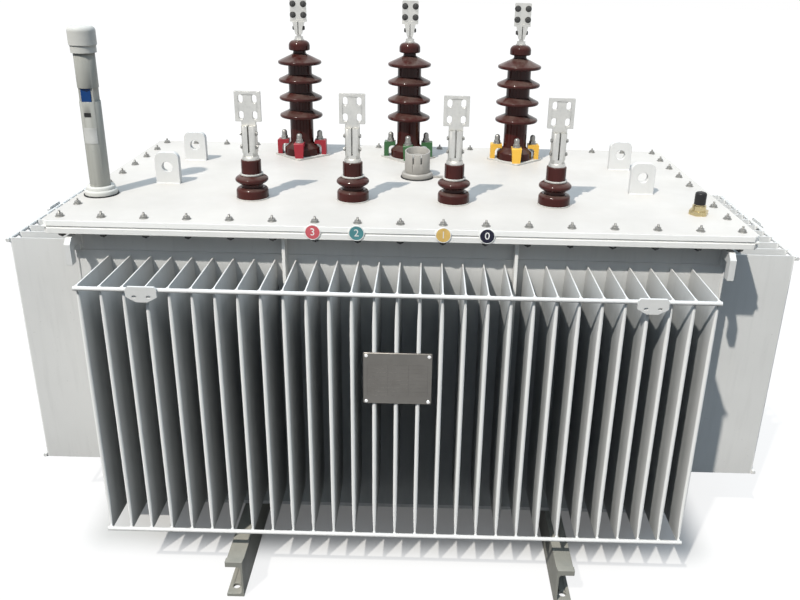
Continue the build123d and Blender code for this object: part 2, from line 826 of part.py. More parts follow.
with BuildPart() as gauge_cap:
    with BuildSketch(Plane.XY.offset(gauge_cap_base)):
        with Locations(gauge_place):
            Circle(gauge_cap_diameter / 2)
    extrude(amount=gauge_cap_height)
    fillet(gauge_cap.edges().group_by(Axis.Z)[-1], gauge_cap_round)
    with BuildSketch(Plane.XY.offset(gauge_ring_base)):
        with Locations(gauge_place):
            Circle(gauge_ring_diameter / 2)
    extrude(amount=gauge_ring_height)
save(gauge_cap.part, "gauge_cap")

# Pressure relief valve: a flange with a core in an open hood, and a tongue at its right
valve_place = (valve_place_across, valve_place_along)
valve_hood_base = cover_top + valve_flange_height
valve_core_diameter = valve_hood_diameter - 2 * valve_hood_wall - 2 * valve_core_clearance

with BuildPart() as relief_valve:
    with BuildSketch(Plane.XY.offset(cover_top)):
        with Locations(valve_place):
            Circle(valve_flange_diameter / 2)
    extrude(amount=valve_flange_height)
    fillet(relief_valve.edges().group_by(Axis.Z)[-1], valve_flange_round)
    with Locations((*valve_place, cover_top)):
        Box(
            valve_flange_diameter / 2 + valve_tongue_reach,
            valve_tongue_width,
            valve_tongue_thickness,
            align=(Align.MIN, Align.CENTER, Align.MIN),
        )
    with BuildSketch(Plane.XY.offset(valve_hood_base)):
        with Locations(valve_place):
            Circle(valve_core_diameter / 2)
    extrude(amount=valve_core_height)
    fillet(relief_valve.edges().group_by(Axis.Z)[-1], valve_core_round)
save(relief_valve.part, "relief_valve")

rim_slope = Plane(
    origin=(*valve_place, valve_hood_base + valve_hood_height),
    x_dir=(1, 0, 0),
    z_dir=(0, -sin(radians(valve_rim_slant)), cos(radians(valve_rim_slant))),
)
with BuildPart() as relief_valve_hood:
    with BuildSketch(Plane.XY.offset(valve_hood_base)):
        with Locations(valve_place):
            Circle(valve_hood_diameter / 2)
            Circle(valve_hood_diameter / 2 - valve_hood_wall, mode=Mode.SUBTRACT)
    extrude(amount=2 * valve_hood_height)
    split(bisect_by=rim_slope, keep=Keep.BOTTOM)
    slot_line = valve_place_along - valve_hood_diameter / 2
    with Locations(
        (valve_place_across - valve_slot_spacing / 2, slot_line, valve_hood_base + valve_slot_level),
        (valve_place_across + valve_slot_spacing / 2, slot_line, valve_hood_base + valve_slot_level),
    ):
        Box(
            valve_slot_width,
            valve_hood_diameter / 2,
            valve_hood_height,
            align=(Align.CENTER, Align.CENTER, Align.MIN),
            mode=Mode.SUBTRACT,
        )
save(relief_valve_hood.part, "relief_valve_hood")

# Brass plug with its cap
plug_place = (cover_length / 2 - plug_side_distance, plug_front_distance - cover_depth / 2)
plug_collar_base = cover_top + plug_hex_height
plug_neck_base = plug_collar_base + plug_collar_height
plug_cap_base = plug_neck_base + plug_neck_height

with BuildPart() as plug_body:
    with BuildSketch(Plane.XY.offset(cover_top)):
        with Locations(plug_place):
            RegularPolygon(plug_flats / 2, 6, major_radius=False)
    extrude(amount=plug_hex_height)
    with BuildSketch(Plane.XY.offset(plug_collar_base)):
        with Locations(plug_place):
            Circle(plug_collar_diameter / 2)
    extrude(amount=plug_collar_height)
    with BuildSketch(Plane.XY.offset(plug_neck_base)):
        with Locations(plug_place):
            Circle(plug_neck_diameter / 2)
    extrude(amount=plug_neck_height)
save(plug_body.part, "plug_body")

with BuildPart() as plug_cap:
    with BuildSketch(Plane.XY.offset(plug_cap_base)):
        with Locations(plug_place):
            Circle(plug_cap_diameter / 2)
    extrude(amount=plug_cap_height)
    fillet(plug_cap.edges().group_by(Axis.Z)[-1], plug_cap_round)
save(plug_cap.part, "plug_cap")
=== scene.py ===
"""Finish for a finned power transformer: paint, glaze, fasteners, welds, plates and its stage."""
import json
import math
import random

import bmesh
import bpy
from bpy.props import FloatProperty, FloatVectorProperty, PointerProperty
from bpy.types import NodeSocket, Operator, Panel, PropertyGroup
from mathutils import Matrix, Vector


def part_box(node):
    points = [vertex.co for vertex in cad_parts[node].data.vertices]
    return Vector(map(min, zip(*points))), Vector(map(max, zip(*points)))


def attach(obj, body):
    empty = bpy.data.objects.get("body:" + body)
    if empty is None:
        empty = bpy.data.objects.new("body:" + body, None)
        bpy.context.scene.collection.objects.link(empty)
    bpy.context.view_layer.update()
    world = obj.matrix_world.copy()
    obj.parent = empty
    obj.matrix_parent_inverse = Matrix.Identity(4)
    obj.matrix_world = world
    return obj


bl_info = {
    "name": "Finned Transformer Finish",
    "version": (1, 0, 0),
    "blender": (4, 5, 0),
    "location": "View3D > Sidebar > Transformer",
    "description": "Paints a finned power transformer and adds its fasteners, welds and plates",
    "category": "Object",
}

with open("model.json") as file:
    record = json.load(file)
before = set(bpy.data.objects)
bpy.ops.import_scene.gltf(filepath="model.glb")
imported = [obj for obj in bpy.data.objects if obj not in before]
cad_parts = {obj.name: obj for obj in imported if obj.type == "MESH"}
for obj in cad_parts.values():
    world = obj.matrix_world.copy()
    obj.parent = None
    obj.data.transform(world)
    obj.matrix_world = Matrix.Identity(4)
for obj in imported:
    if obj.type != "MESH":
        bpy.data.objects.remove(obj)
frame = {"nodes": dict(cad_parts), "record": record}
NODES = frame["nodes"]
MOUNTS = {mount["name"]: mount for mount in frame["record"]["mounts"]}
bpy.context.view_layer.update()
COVER_LOW, COVER_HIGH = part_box("cover")
FLANGE_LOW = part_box("flange_long_bars")[0]
WALL_LOW, WALL_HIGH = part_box("front_wall")
FIN_LOW, FIN_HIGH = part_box("front_fins")
GAUGE_LOW, GAUGE_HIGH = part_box("gauge_tube")
GAUGE_AXIS = (GAUGE_LOW + GAUGE_HIGH) / 2

UP, DOWN = (0.0, 0.0, 1.0), (0.0, 0.0, -1.0)
LEFT, RIGHT = (-1.0, 0.0, 0.0), (1.0, 0.0, 0.0)
FRONT, BACK = (0.0, -1.0, 0.0), (0.0, 1.0, 0.0)
HV_COLOURS = ("red", "green", "yellow")
BLACK = (0.022, 0.022, 0.023)
FINISHES = {}
SEEDS = {"cover_bolts": 7, "palm_bolts": 11, "flag_bolts": 13, "tank_welds": 3, "lug_welds": 5}

# The axis along which the fins of each bank stand in a row.
BANKS = {"front": 0, "back": 0, "left": 1, "right": 1}

# The badges' numbers and colours, from left to right.
BADGES = (
    ("3", (0.55, 0.11, 0.13)),
    ("2", (0.085, 0.25, 0.27)),
    ("1", (0.70, 0.47, 0.15)),
    ("0", (0.014, 0.014, 0.03)),
)

# Widths of the eased edges, in metres.
BAR_EDGE, SHEET_EDGE, CAST_EDGE = 0.0015, 0.0012, 0.001
METAL_EDGE, MOULDED_EDGE, SLOTTED_EDGE = 0.0008, 0.0006, 0.0003

# Where the painted shade between the fins is full and where it ends, in metres inwards from the noses, the
# end fins and the tops.
SHADE_BEHIND_NOSES, SHADE_INSIDE_ENDS, SHADE_UNDER_TOPS = (0.045, 0.008), (0.007, 0.003), (0.07, -0.005)
# Where the painted highlight on the fins' noses begins and where it is brightest, inwards from the noses.
NOSE_HIGHLIGHT = (0.006, 0.002)

# Shares of a piece's size at which its nuts and welds sit.
CLAMP_NUT_LINE = 0.73
FLAG_BOLT_LINE, FLAG_BOLT_LEVELS = 0.275, (0.22, 0.72)
HOOK_WELD_LENGTH = 0.65
# A bolt nearer to a corner than this share of a pitch would stand in the corner's own bolt.
CORNER_SHARE = 0.01


def colour_setting(name, description, default):
    return FloatVectorProperty(
        name=name, description=description, subtype="COLOR", size=3, min=0.0, max=1.0, default=default
    )


def length_setting(name, description, default):
    return FloatProperty(name=name, description=description, unit="LENGTH", min=0.0, default=default)


def angle_setting(name, description, degrees):
    return FloatProperty(name=name, description=description, subtype="ANGLE", default=math.radians(degrees))


def plain_setting(name, description, default):
    return FloatProperty(name=name, description=description, min=0.0, default=default)


def share_setting(name, description, default):
    return FloatProperty(
        name=name, description=description, subtype="FACTOR", min=0.0, max=1.0, default=default
    )


def vector_setting(name, description, subtype, default, unit="NONE"):
    return FloatVectorProperty(
        name=name, description=description, subtype=subtype, unit=unit, default=default
    )


class FinishSettings(PropertyGroup):
    """Colours and wear of the transformer's surfaces."""

    tank_colour: colour_setting("Tank", "Paint on the tank, its fins and its bars", (0.63, 0.63, 0.62))
    cover_colour: colour_setting("Cover", "Paint on the cover's edges", (0.88, 0.875, 0.855))
    # Flange: paler than the tank's paint, partly the flange's own paint and partly painted light, which makes
    # the flange's edges and the wall ribs read as brightly lit.
    flange_colour: colour_setting("Flange", "Paint on the flange and the ribs", (0.76, 0.755, 0.735))
    # Cover top: painted shade; the cover's upward faces take this darker colour, because they catch the most
    # light, and its edges the paler cover colour.
    cover_top_shade_colour: colour_setting("Cover top", "Dull paint on the cover's top", (0.53, 0.503, 0.472))
    skid_colour: colour_setting("Skids", "Paint on the channel skids", (0.24, 0.24, 0.215))
    glaze_colour: colour_setting("Glaze", "Glaze on the bushings' porcelain", (0.044, 0.0085, 0.007))
    red_colour: colour_setting("Red phase", "Paint on the left bushing's clamps", (0.29, 0.018, 0.030))
    green_colour: colour_setting("Green phase", "Paint on the middle bushing's clamps", (0.035, 0.115, 0.042))
    yellow_colour: colour_setting("Yellow phase", "Paint on the right bushing's clamps", (0.74, 0.43, 0.06))
    gauge_colour: colour_setting("Gauge", "Paint on the gauge tube", (0.37, 0.37, 0.34))
    gauge_cap_colour: colour_setting("Gauge cap", "Paint on the gauge's cap and foot", (0.55, 0.545, 0.515))
    tin_colour: colour_setting("Terminals", "Tinned metal of the terminals", (0.56, 0.56, 0.54))
    cast_colour: colour_setting("Valve", "Dull cast metal of the relief valve", (0.36, 0.345, 0.32))
    brass_colour: colour_setting("Brass", "Metal of the plug", (0.58, 0.49, 0.28))
    window_colour: colour_setting("Gauge window", "Blue behind the gauge's window", (0.003, 0.045, 0.18))
    dust_colour: colour_setting("Dust", "Dust that lies on upward faces", (0.45, 0.42, 0.36))
    # Gap shade: painted shade, a dark bluish colour laid deep between the fins and under their tops, where
    # their shade falls; its smears look a little like grime.
    gap_shade_colour: colour_setting("Grime", "Dirt that the rain leaves between the fins", (0.152, 0.171, 0.18))
    gap_shade_amount: share_setting("Grime amount", "How much dirt lies between the fins", 0.62)
    dust_amount: share_setting("Dust amount", "How much dust lies on upward faces", 0.3)


class FastenerSettings(PropertyGroup):
    """Sizes of the bolts, nuts and welds that hold the transformer together."""

    cover_pitch: length_setting("Cover bolt pitch", "Distance between the cover's bolts", 0.1)
    cover_inset: length_setting("Cover bolt inset", "Distance from the cover's edge to its bolts", 0.033)
    cover_flats: length_setting("Cover nut flats", "Width of the nuts on the cover across flats", 0.014)
    cover_stud: length_setting("Bolt tip above", "Length of bolt that shows over the cover's nuts", 0.007)
    flange_flats: length_setting("Flange nut flats", "Width of the nuts under the flange across flats", 0.015)
    flange_stud: length_setting("Bolt tip below", "Length of bolt that shows under the flange's nuts", 0.003)
    clamp_nut_radius: length_setting("Clamp nut radius", "Radius of the domed nuts on the clamps", 0.0095)
    clamp_nut_height: length_setting("Clamp nut height", "Height of the domed nuts on the clamps", 0.029)
    palm_flats: length_setting("Palm nut flats", "Width of the palms' nuts across flats", 0.012)
    jaw_flats: length_setting("Jaw bolt flats", "Width of the bolt heads in the palms' jaws", 0.010)
    jaw_rise: length_setting("Jaw bolt rise", "Height of the jaws' bolts over the jaws' feet", 0.018)
    jaw_reach: length_setting("Jaw bolt reach", "Distance from the jaw's middle to its bolt heads", 0.0125)
    flag_flats: length_setting("Flag clamp flats", "Width of the flag clamps' nuts across flats", 0.008)
    # Under the relief valve this black ring is painted shadow at the foot's edge.
    seal_width: length_setting("Seal width", "Width of the packing that shows round a flanged foot", 0.003)
    nose_weld: length_setting("Nose weld", "Radius of the welds between fin noses and bars", 0.0024)
    seam_weld: length_setting("Seam weld", "Radius of the weld runs along the tank's seams", 0.0030)
    seam_rise: length_setting("Seam rise", "Height of the walls' weld runs over the fins", 0.011)


class PlateSettings(PropertyGroup):
    """Sizes of the name plate, the numbered badges and the gauge's label and collar."""

    plate_width: length_setting("Plate width", "Width of the name plate", 0.156)
    plate_height: length_setting("Plate height", "Height of the name plate", 0.130)
    plate_level: length_setting("Plate level", "Height of the name plate's middle above the floor", 0.605)
    badge_radius: length_setting("Badge radius", "Radius of the round badges on the cover's edge", 0.0188)
    badge_reach: length_setting("Outer badges", "Distance of the outer badges from the middle", 0.201)
    badge_step: length_setting("Inner badges", "Distance of the inner badges from the middle", 0.100)
    label_rise: length_setting("Label rise", "Height of the gauge's label over the cover", 0.1545)
    label_width: length_setting("Label width", "Width of the gauge's label along its bend", 0.034)
    label_height: length_setting("Label height", "Height of the gauge's label", 0.039)
    # Shade insert: a dark plate in the gauge's slot, painted shade for the slot's inside.
    shade_insert_rise: length_setting("Insert rise", "Height of the dark insert in the gauge's slot", 0.2055)
    collar_radius: length_setting("Collar radius", "Radius of the collar round the gauge's tube", 0.0350)
    collar_height: length_setting("Collar height", "Height of that collar over the gauge's foot", 0.0090)


class StageSettings(PropertyGroup):
    """Camera and light around the transformer."""

    eye: vector_setting("Eye", "Place of the camera", "TRANSLATION", (0.0558, -2.1375, 1.4895), "LENGTH")
    yaw: angle_setting("Yaw", "Turn of the camera to the right", -0.275)
    pitch: angle_setting("Pitch", "Tilt of the camera downwards", 20.797)
    roll: angle_setting("Roll", "Roll of the camera", -1.263)
    focal_pixels: plain_setting("Focal length", "Focal length in pixels of the picture", 783.0)
    picture_width: plain_setting("Picture width", "Width of the picture in pixels", 800.0)
    picture_height: plain_setting("Picture height", "Height of the picture in pixels", 600.0)
    centre_x: plain_setting("Centre across", "Place of the lens axis across the picture", 420.0)
    centre_y: plain_setting("Centre down", "Place of the lens axis down the picture", 260.0)
    key_from: vector_setting(
        "Key from", "Direction that the key light comes from", "DIRECTION", (-0.325, -0.515, 0.793)
    )
    key_colour: colour_setting("Key colour", "Colour of the key light", (1.0, 0.955, 0.885))
    key_strength: plain_setting("Key", "Strength of the key light", 4.2)
    key_angle: angle_setting("Key size", "Angle that the key light spans", 1.2)
    sky_colour: colour_setting("Sky", "Colour of the soft light from above", (0.69, 0.845, 1.0))
    sky_falloff: plain_setting("Sky falloff", "How fast the soft light fades from zenith to horizon", 2.2)
    zenith_strength: plain_setting("Zenith", "Strength of the soft light from straight above", 2.22)
    horizon_strength: plain_setting("Horizon", "Strength of the soft light from the sides", 0.04)
    floor_colour: colour_setting("Floor", "Colour of the floor as the camera sees it", (0.45, 0.45, 0.445))
    bounce_colour: colour_setting("Bounce", "Colour of the floor as it throws light back", (0.06, 0.06, 0.06))
    floor_glow: plain_setting("Floor glow", "Brightness of the floor away from the transformer", 1.12)


def finish_settings():
    return bpy.context.scene.transformer_finish


def mount_place(name):
    return Vector(MOUNTS[name]["pos_m"])


def mount_size(name, dimension):
    """One of the mount's sizes in metres."""
    return MOUNTS[name]["dims"][dimension] / 1000.0


def spans(node, axis, gap=0.015):
    """Where the like pieces of a node begin and end along an axis, apart by more than the gap."""
    places = sorted(vertex.co[axis] for vertex in NODES[node].data.vertices)
    groups = [[places[0], places[0]]]
    for place in places[1:]:
        if place - groups[-1][1] > gap:
            groups.append([place, place])
        groups[-1][1] = place
    return groups


class Wiring:
    """A node tree that is wired with short calls."""

    def __init__(self, tree):
        self.nodes, self.links = tree.nodes, tree.links

    def put(self, socket, value):
        """Links a socket to another one, or gives it a constant."""
        if isinstance(value, NodeSocket):
            self.links.new(value, socket)
        elif socket.type == "RGBA":
            socket.default_value = (*value, 1.0)
        else:
            socket.default_value = value

    def add(self, kind, output, inputs, **options):
        """One output of a new node whose options and inputs are set."""
        node = self.nodes.new(kind)
        for name, value in options.items():
            setattr(node, name, value)
        for socket, value in inputs.items():
            self.put(node.inputs[socket], value)
        return node.outputs[output]

    def reckon(self, operation, *values, **options):
        """The result of a sum on values or sockets."""
        return self.add("ShaderNodeMath", 0, dict(enumerate(values)), operation=operation, **options)

    def span(self, value, low, high, to_low=0.0, to_high=1.0, **options):
        inputs = {"Value": value, "From Min": low, "From Max": high, "To Min": to_low, "To Max": to_high}
        return self.add("ShaderNodeMapRange", "Result", inputs, **options)

    def mixed(self, factor, first, second):
        """A shader between two others."""
        return self.add("ShaderNodeMixShader", 0, {0: factor, 1: first, 2: second})


class Shader(Wiring):
    """A material's node tree, with the textures that the finishes share."""

    def __init__(self, name):
        self.material = bpy.data.materials.new(name)
        self.material.use_nodes = True
        super().__init__(self.material.node_tree)
        self.surface = self.nodes["Principled BSDF"]
        self.place = self.nodes.new("ShaderNodeTexCoord").outputs["Object"]
        self.normal = self.nodes.new("ShaderNodeNewGeometry").outputs["Normal"]

    def noise(self, scale, detail, roughness=0.55, stretch=None):
        place = self.place
        if stretch:
            place = self.add("ShaderNodeMapping", "Vector", {"Vector": place, "Scale": stretch})
        inputs = {"Vector": place, "Scale": scale, "Detail": detail, "Roughness": roughness}
        return self.add("ShaderNodeTexNoise", "Fac", inputs)

    def crystals(self, scale):
        return self.add("ShaderNodeTexVoronoi", "Distance", {"Vector": self.place, "Scale": scale})

    def times(self, first, second):
        return self.reckon("MULTIPLY", first, second)

    def blend(self, factor, first, second):
        return self.add("ShaderNodeMix", 2, {0: factor, 6: first, 7: second}, data_type="RGBA")

    def facing_up(self):
        return self.add("ShaderNodeSeparateXYZ", "Z", {0: self.normal})

    def from_middle(self, axis):
        """Distance from the transformer's middle along X, Y or Z, by the axis's number."""
        return self.reckon("ABSOLUTE", self.add("ShaderNodeSeparateXYZ", axis, {0: self.place}))

    def within(self, distance, edge, margins):
        """One up to the first margin inside an edge, falling to zero at the second."""
        return self.span(distance, edge - margins[0], edge - margins[1], 1.0, 0.0)

    def bump(self, height, strength, distance, below=None):
        inputs = {"Strength": strength, "Distance": distance, "Height": height}
        if below:
            inputs["Normal"] = below
        return self.add("ShaderNodeBump", "Normal", inputs)

    def wear(self, **sockets):
        for name, value in sockets.items():
            self.put(self.surface.inputs[name.replace("_", " ").title().replace("Ior", "IOR")], value)
        return self.material


def shade(colour, factor):
    return tuple(min(1.0, channel * factor) for channel in colour)


def along_fins(shader, bank):
    """Two shares: how deep between a bank's fins a place lies, for the painted shade there, and how near it
    is to their noses, for the painted highlight on them.
    """
    low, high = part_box(f"{bank}_fins")
    along = BANKS[bank]
    out = 1 - along
    end, nose = max(high[along], -low[along]), max(high[out], -low[out])
    outward = shader.from_middle(out)
    deep = shader.within(outward, nose, SHADE_BEHIND_NOSES)
    inside = shader.within(shader.from_middle(along), end, SHADE_INSIDE_ENDS)
    under = shader.within(shader.from_middle(2), high.z, SHADE_UNDER_TOPS)
    noses = shader.span(outward, nose - NOSE_HIGHLIGHT[0], nose - NOSE_HIGHLIGHT[1])
    return shader.times(shader.times(deep, inside), under), noses


def paint(name, colour, rough=0.5, dust=1.0, streaks=0.35, top=None, shine=0.15, bank=None):
    """Sprayed paint on sheet steel: mottling, rain streaks, specks, dust on top and orange peel; with a top
    colour, painted shade on upward faces; with a bank, painted shade deep between the fins and a painted
    highlight on their noses.
    """
    finish = finish_settings()
    shader = Shader(name)
    clouds = shader.span(shader.noise(2.6, 6.0), 0.35, 0.7)
    mottled = shader.blend(clouds, shade(colour, 0.95), shade(colour, 1.03))
    rain = shader.span(shader.noise(6.0, 5.0, 0.6, (9.0, 9.0, 0.7)), 0.52, 0.78, 0.0, streaks)
    tone = shader.blend(rain, mottled, shade(colour, 0.78))
    if top is not None:
        stains = shader.span(shader.noise(4.0, 7.0), 0.36, 0.66)
        shaded_top = shader.blend(stains, shade(top, 0.93), shade(top, 1.05))
        # Painted shade: upward faces take the darker top colour, because the light falls on them most.
        tone = shader.blend(shader.span(shader.facing_up(), 0.6, 0.95), tone, shaded_top)
    specks = shader.span(shader.noise(160.0, 3.0), 0.70, 0.76, 0.0, 0.45)
    tone = shader.blend(specks, tone, shade(colour, 0.5))
    lying = shader.span(shader.facing_up(), 0.35, 0.95, 0.0, dust * finish.dust_amount)
    patchy = shader.span(shader.noise(7.0, 8.0, 0.62), 0.38, 0.72)
    tone = shader.blend(shader.times(lying, patchy), tone, finish.dust_colour)
    if bank:
        most = finish.gap_shade_amount
        shade_smears = shader.span(shader.noise(11.0, 6.0, 0.6, (3.0, 3.0, 1.0)), 0.3, 0.7, most * 0.8, most)
        depth, noses = along_fins(shader, bank)
        # Painted highlight: the fins' noses are made paler, for the light that they catch.
        tone = shader.blend(noses, tone, shade(colour, 1.22))
        # Painted shade: the fins' faces darken deep between them and under their tops, where their shade
        # falls.
        tone = shader.blend(shader.times(depth, shade_smears), tone, finish.gap_shade_colour)
    peel = shader.bump(shader.noise(420.0, 2.0), 0.10, 0.0006)
    sheet = shader.bump(shader.noise(9.0, 2.0), 0.12, 0.004, peel)
    roughness = shader.span(shader.noise(14.0, 5.0), 0.3, 0.7, rough - 0.06, rough + 0.10)
    return shader.wear(base_color=tone, roughness=roughness, normal=sheet, specular_ior_level=shine)


def glaze(name, colour):
    """Dark porcelain glaze, a little uneven, with dust on the sheds that is also a painted reflection of the
    sky on their upward faces.
    """
    shader = Shader(name)
    pools = shader.span(shader.noise(9.0, 5.0), 0.35, 0.68)
    pooled = shader.blend(pools, shade(colour, 0.72), shade(colour, 1.25))
    # Dust and painted reflection: the sheds' upward faces are made paler, partly dust and partly the sky's
    # reflection painted on.
    lying = shader.span(shader.facing_up(), 0.30, 0.90, 0.0, 0.14)
    dusty = shader.times(lying, shader.span(shader.noise(30.0, 6.0), 0.32, 0.66))
    dust_and_sky_reflection = shader.blend(dusty, pooled, finish_settings().dust_colour)
    roughness = shader.span(shader.noise(40.0, 4.0), 0.3, 0.7, 0.09, 0.18)
    wavy = shader.bump(shader.noise(38.0, 2.0), 0.08, 0.0015)
    return shader.wear(base_color=dust_and_sky_reflection, roughness=roughness, normal=wavy, specular_ior_level=0.2)


def metal(name, colour, rough, spangle=0.0, tarnish=0.25, metallic=1.0):
    """Bare metal with a spangle or a cast grain and some tarnish."""
    shader = Shader(name)
    patches = shader.span(shader.noise(24.0, 6.0), 0.42, 0.72, 0.0, tarnish)
    tone = shader.blend(patches, colour, shade(colour, 0.55))
    if spangle:
        spangled = shader.span(shader.crystals(150.0), 0.0, 0.6, 0.0, spangle)
        tone = shader.blend(spangled, tone, shade(colour, 1.25))
    fine = shader.bump(shader.noise(300.0, 3.0), 0.16, 0.0006)
    roughness = shader.span(shader.noise(55.0, 4.0), 0.3, 0.7, rough - 0.08, rough + 0.14)
    return shader.wear(base_color=tone, roughness=roughness, normal=fine, metallic=metallic)


def moulded(name, colour, rough, grain=260.0):
    """Rubber or plastic with a fine moulded grain."""
    shader = Shader(name)
    clouds = shader.span(shader.noise(18.0, 5.0), 0.35, 0.7)
    tone = shader.blend(clouds, shade(colour, 0.8), shade(colour, 1.2))
    roughness = shader.span(shader.noise(60.0, 3.0), 0.3, 0.7, rough - 0.08, rough + 0.08)
    fine = shader.bump(shader.noise(grain, 2.0), 0.12, 0.0006)
    return shader.wear(base_color=tone, roughness=roughness, normal=fine, specular_ior_level=0.2)


def finish_of(name, make, colour, **options):
    """The finish of that name, made once and apart from the plain materials of the frame."""
    if name not in FINISHES:
        FINISHES[name] = make(f"{name}_finish", colour, **options)
    return FINISHES[name]


def tank_paint():
    return finish_of("tank_paint", paint, finish_settings().tank_colour)


def flange_paint():
    colour = finish_settings().flange_colour
    return finish_of("flange_paint", paint, colour, rough=0.45, dust=0.5, streaks=0.2)


def gauge_cap_paint():
    colour = finish_settings().gauge_cap_colour
    return finish_of("gauge_cap_paint", paint, colour, rough=0.42, dust=0.4, streaks=0.2)


def zinc_plate():
    return finish_of("zinc_plate", metal, (0.29, 0.29, 0.28), rough=0.42, spangle=0.35, metallic=0.8)


def dark_steel():
    return finish_of("dark_steel", metal, (0.07, 0.07, 0.07), rough=0.5, tarnish=0.5, metallic=0.6)


def black_rubber():
    return finish_of("black_rubber", moulded, BLACK, rough=0.55)


def coat(material, *nodes, edge=0.0):
    """Gives CAD nodes a material, and eases their edges by that width."""
    for node in nodes:
        piece = NODES[node]
        piece.data.materials.clear()
        piece.data.materials.append(material)
        if edge:
            weld = piece.modifiers.new("joined_faces", "WELD")
            weld.merge_threshold = 0.00001
            bevel = piece.modifiers.new("eased_edges", "BEVEL")
            bevel.width = edge
            bevel.segments = 2
            bevel.limit_method = "ANGLE"
            bevel.angle_limit = math.radians(40)
            bevel.harden_normals = True


def new_piece(name, mesh, materials, smooth=35.0):
    """Turns a bmesh into a piece that rides on the body."""
    bmesh.ops.recalc_face_normals(mesh, faces=mesh.faces)
    data = bpy.data.meshes.new(name)
    mesh.to_mesh(data)
    mesh.free()
    data.shade_smooth()
    data.set_sharp_from_angle(angle=math.radians(smooth))
    for material in materials:
        data.materials.append(material)
    piece = bpy.data.objects.new(name, data)
    bpy.context.scene.collection.objects.link(piece)
    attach(piece, "root")


def towards(place, axis):
    """A frame at that place whose Z points along axis."""
    turn = Vector(UP).rotation_difference(Vector(axis)).to_matrix().to_4x4()
    return Matrix.Translation(place) @ turn


def upright(place):
    """A frame at that place whose Z points to the front and whose Y points up."""
    return Matrix.Translation(place) @ Matrix.Rotation(math.radians(90), 4, "X")


def rings(mesh, loops, material=0):
    """Skins a row of equal loops of points and caps its ends."""
    rows = [[mesh.verts.new(point) for point in loop] for loop in loops]
    count = len(rows[0])
    for low, high in zip(rows, rows[1:]):
        for i in range(count):
            j = (i + 1) % count
            mesh.faces.new((low[i], low[j], high[j], high[i])).material_index = material
    mesh.faces.new(tuple(reversed(rows[0]))).material_index = material
    mesh.faces.new(tuple(rows[-1])).material_index = material


def spoke(where, radius, angle, level):
    """A point at that radius, angle and level about the frame's Z."""
    return where @ Vector((radius * math.cos(angle), radius * math.sin(angle), level))


def turned(mesh, where, profile, sides, material=0):
    """Turns a profile of (radius, level) about the frame's Z; the first and last rows are capped."""
    angles = [math.tau * i / sides for i in range(sides)]
    rings(mesh, [[spoke(where, radius, a, level) for a in angles] for radius, level in profile], material)


def hexagon(mesh, where, flats, base, height, turn=0.0):
    """A hexagon nut or bolt head whose upper corners are chamfered."""
    corner, middle = flats / math.sqrt(3.0), flats / 2.0
    loops = []
    for corner_radius, middle_radius, corner_share, middle_share in (
        (corner, middle, 0.0, 0.0),
        (corner, middle, 0.80, 0.94),
        (middle * 0.94, middle * 0.93, 1.0, 1.0),
    ):
        loop = []
        for i in range(12):
            radius, share = (middle_radius, middle_share) if i % 2 else (corner_radius, corner_share)
            loop.append(spoke(where, radius, math.tau * i / 12 + turn, base + height * share))
        loops.append(loop)
    rings(mesh, loops)


def washer(mesh, where, radius, base, thickness):
    edge = thickness * 0.25
    profile = [(radius, base), (radius, base + thickness - edge), (radius - edge, base + thickness)]
    turned(mesh, where, profile, sides=24)


def threaded_end(mesh, where, radius, base, length):
    """A bolt's end with a few thread crests and a chamfered tip."""
    pitch = radius * 0.3
    turns = max(2, int((length - pitch) / pitch))
    profile = [(radius * 0.9, base)]
    for i in range(turns):
        level = base + i * pitch
        profile += [(radius, level + pitch * 0.35), (radius * 0.87, level + pitch * 0.85)]
    profile += [(radius * 0.97, base + turns * pitch), (radius * 0.72, base + length)]
    turned(mesh, where, profile, sides=14)


def nut_on_stud(mesh, where, flats, turn, stud=0.0, nuts=1):
    """Washer, one or more nuts and, where it shows, the end of the bolt that passes through them."""
    level, height = flats * 0.12, flats * 0.42
    washer(mesh, where, flats * 0.75, 0.0, level)
    for k in range(nuts):
        hexagon(mesh, where, flats, level, height, turn=turn + k * 0.4)
        level += height
    if stud:
        threaded_end(mesh, where, flats * 0.21, level, stud)


def domed_nut(mesh, where, radius, height):
    """Washer and hexagon with a tall domed cap over the stud."""
    seat, cap = 0.0025, radius * 0.86
    washer(mesh, where, radius * 1.35, 0.0, seat)
    hexagon(mesh, where, radius * 1.85, seat, radius * 0.9)
    dome = [(cap, seat + radius * 0.9)]
    for k in range(7):
        angle = math.radians(15.0 * k)
        dome.append((max(cap * math.cos(angle), cap * 0.14), height - cap + cap * math.sin(angle)))
    turned(mesh, where, dome, sides=16)


def weld_bead(mesh, start, end, radius, chance):
    """A rippled weld run between two points, half sunk in the seam."""
    start, end = Vector(start), Vector(end)
    run = end - start
    steps = max(3, int(run.length / (radius * 0.75)))
    where = towards(start, run.normalized())
    loops = []
    for i in range(steps + 1):
        swell = radius * (0.86 + 0.16 * (i % 2) + chance.uniform(-0.07, 0.07))
        if i in (0, steps):
            swell *= 0.45
        wander = chance.uniform(-0.06, 0.06) * radius
        level = run.length * i / steps
        loop = []
        for k in range(8):
            angle = math.tau * k / 8
            loop.append(where @ Vector((swell * math.cos(angle) + wander, swell * math.sin(angle), level)))
        loops.append(loop)
    rings(mesh, loops)


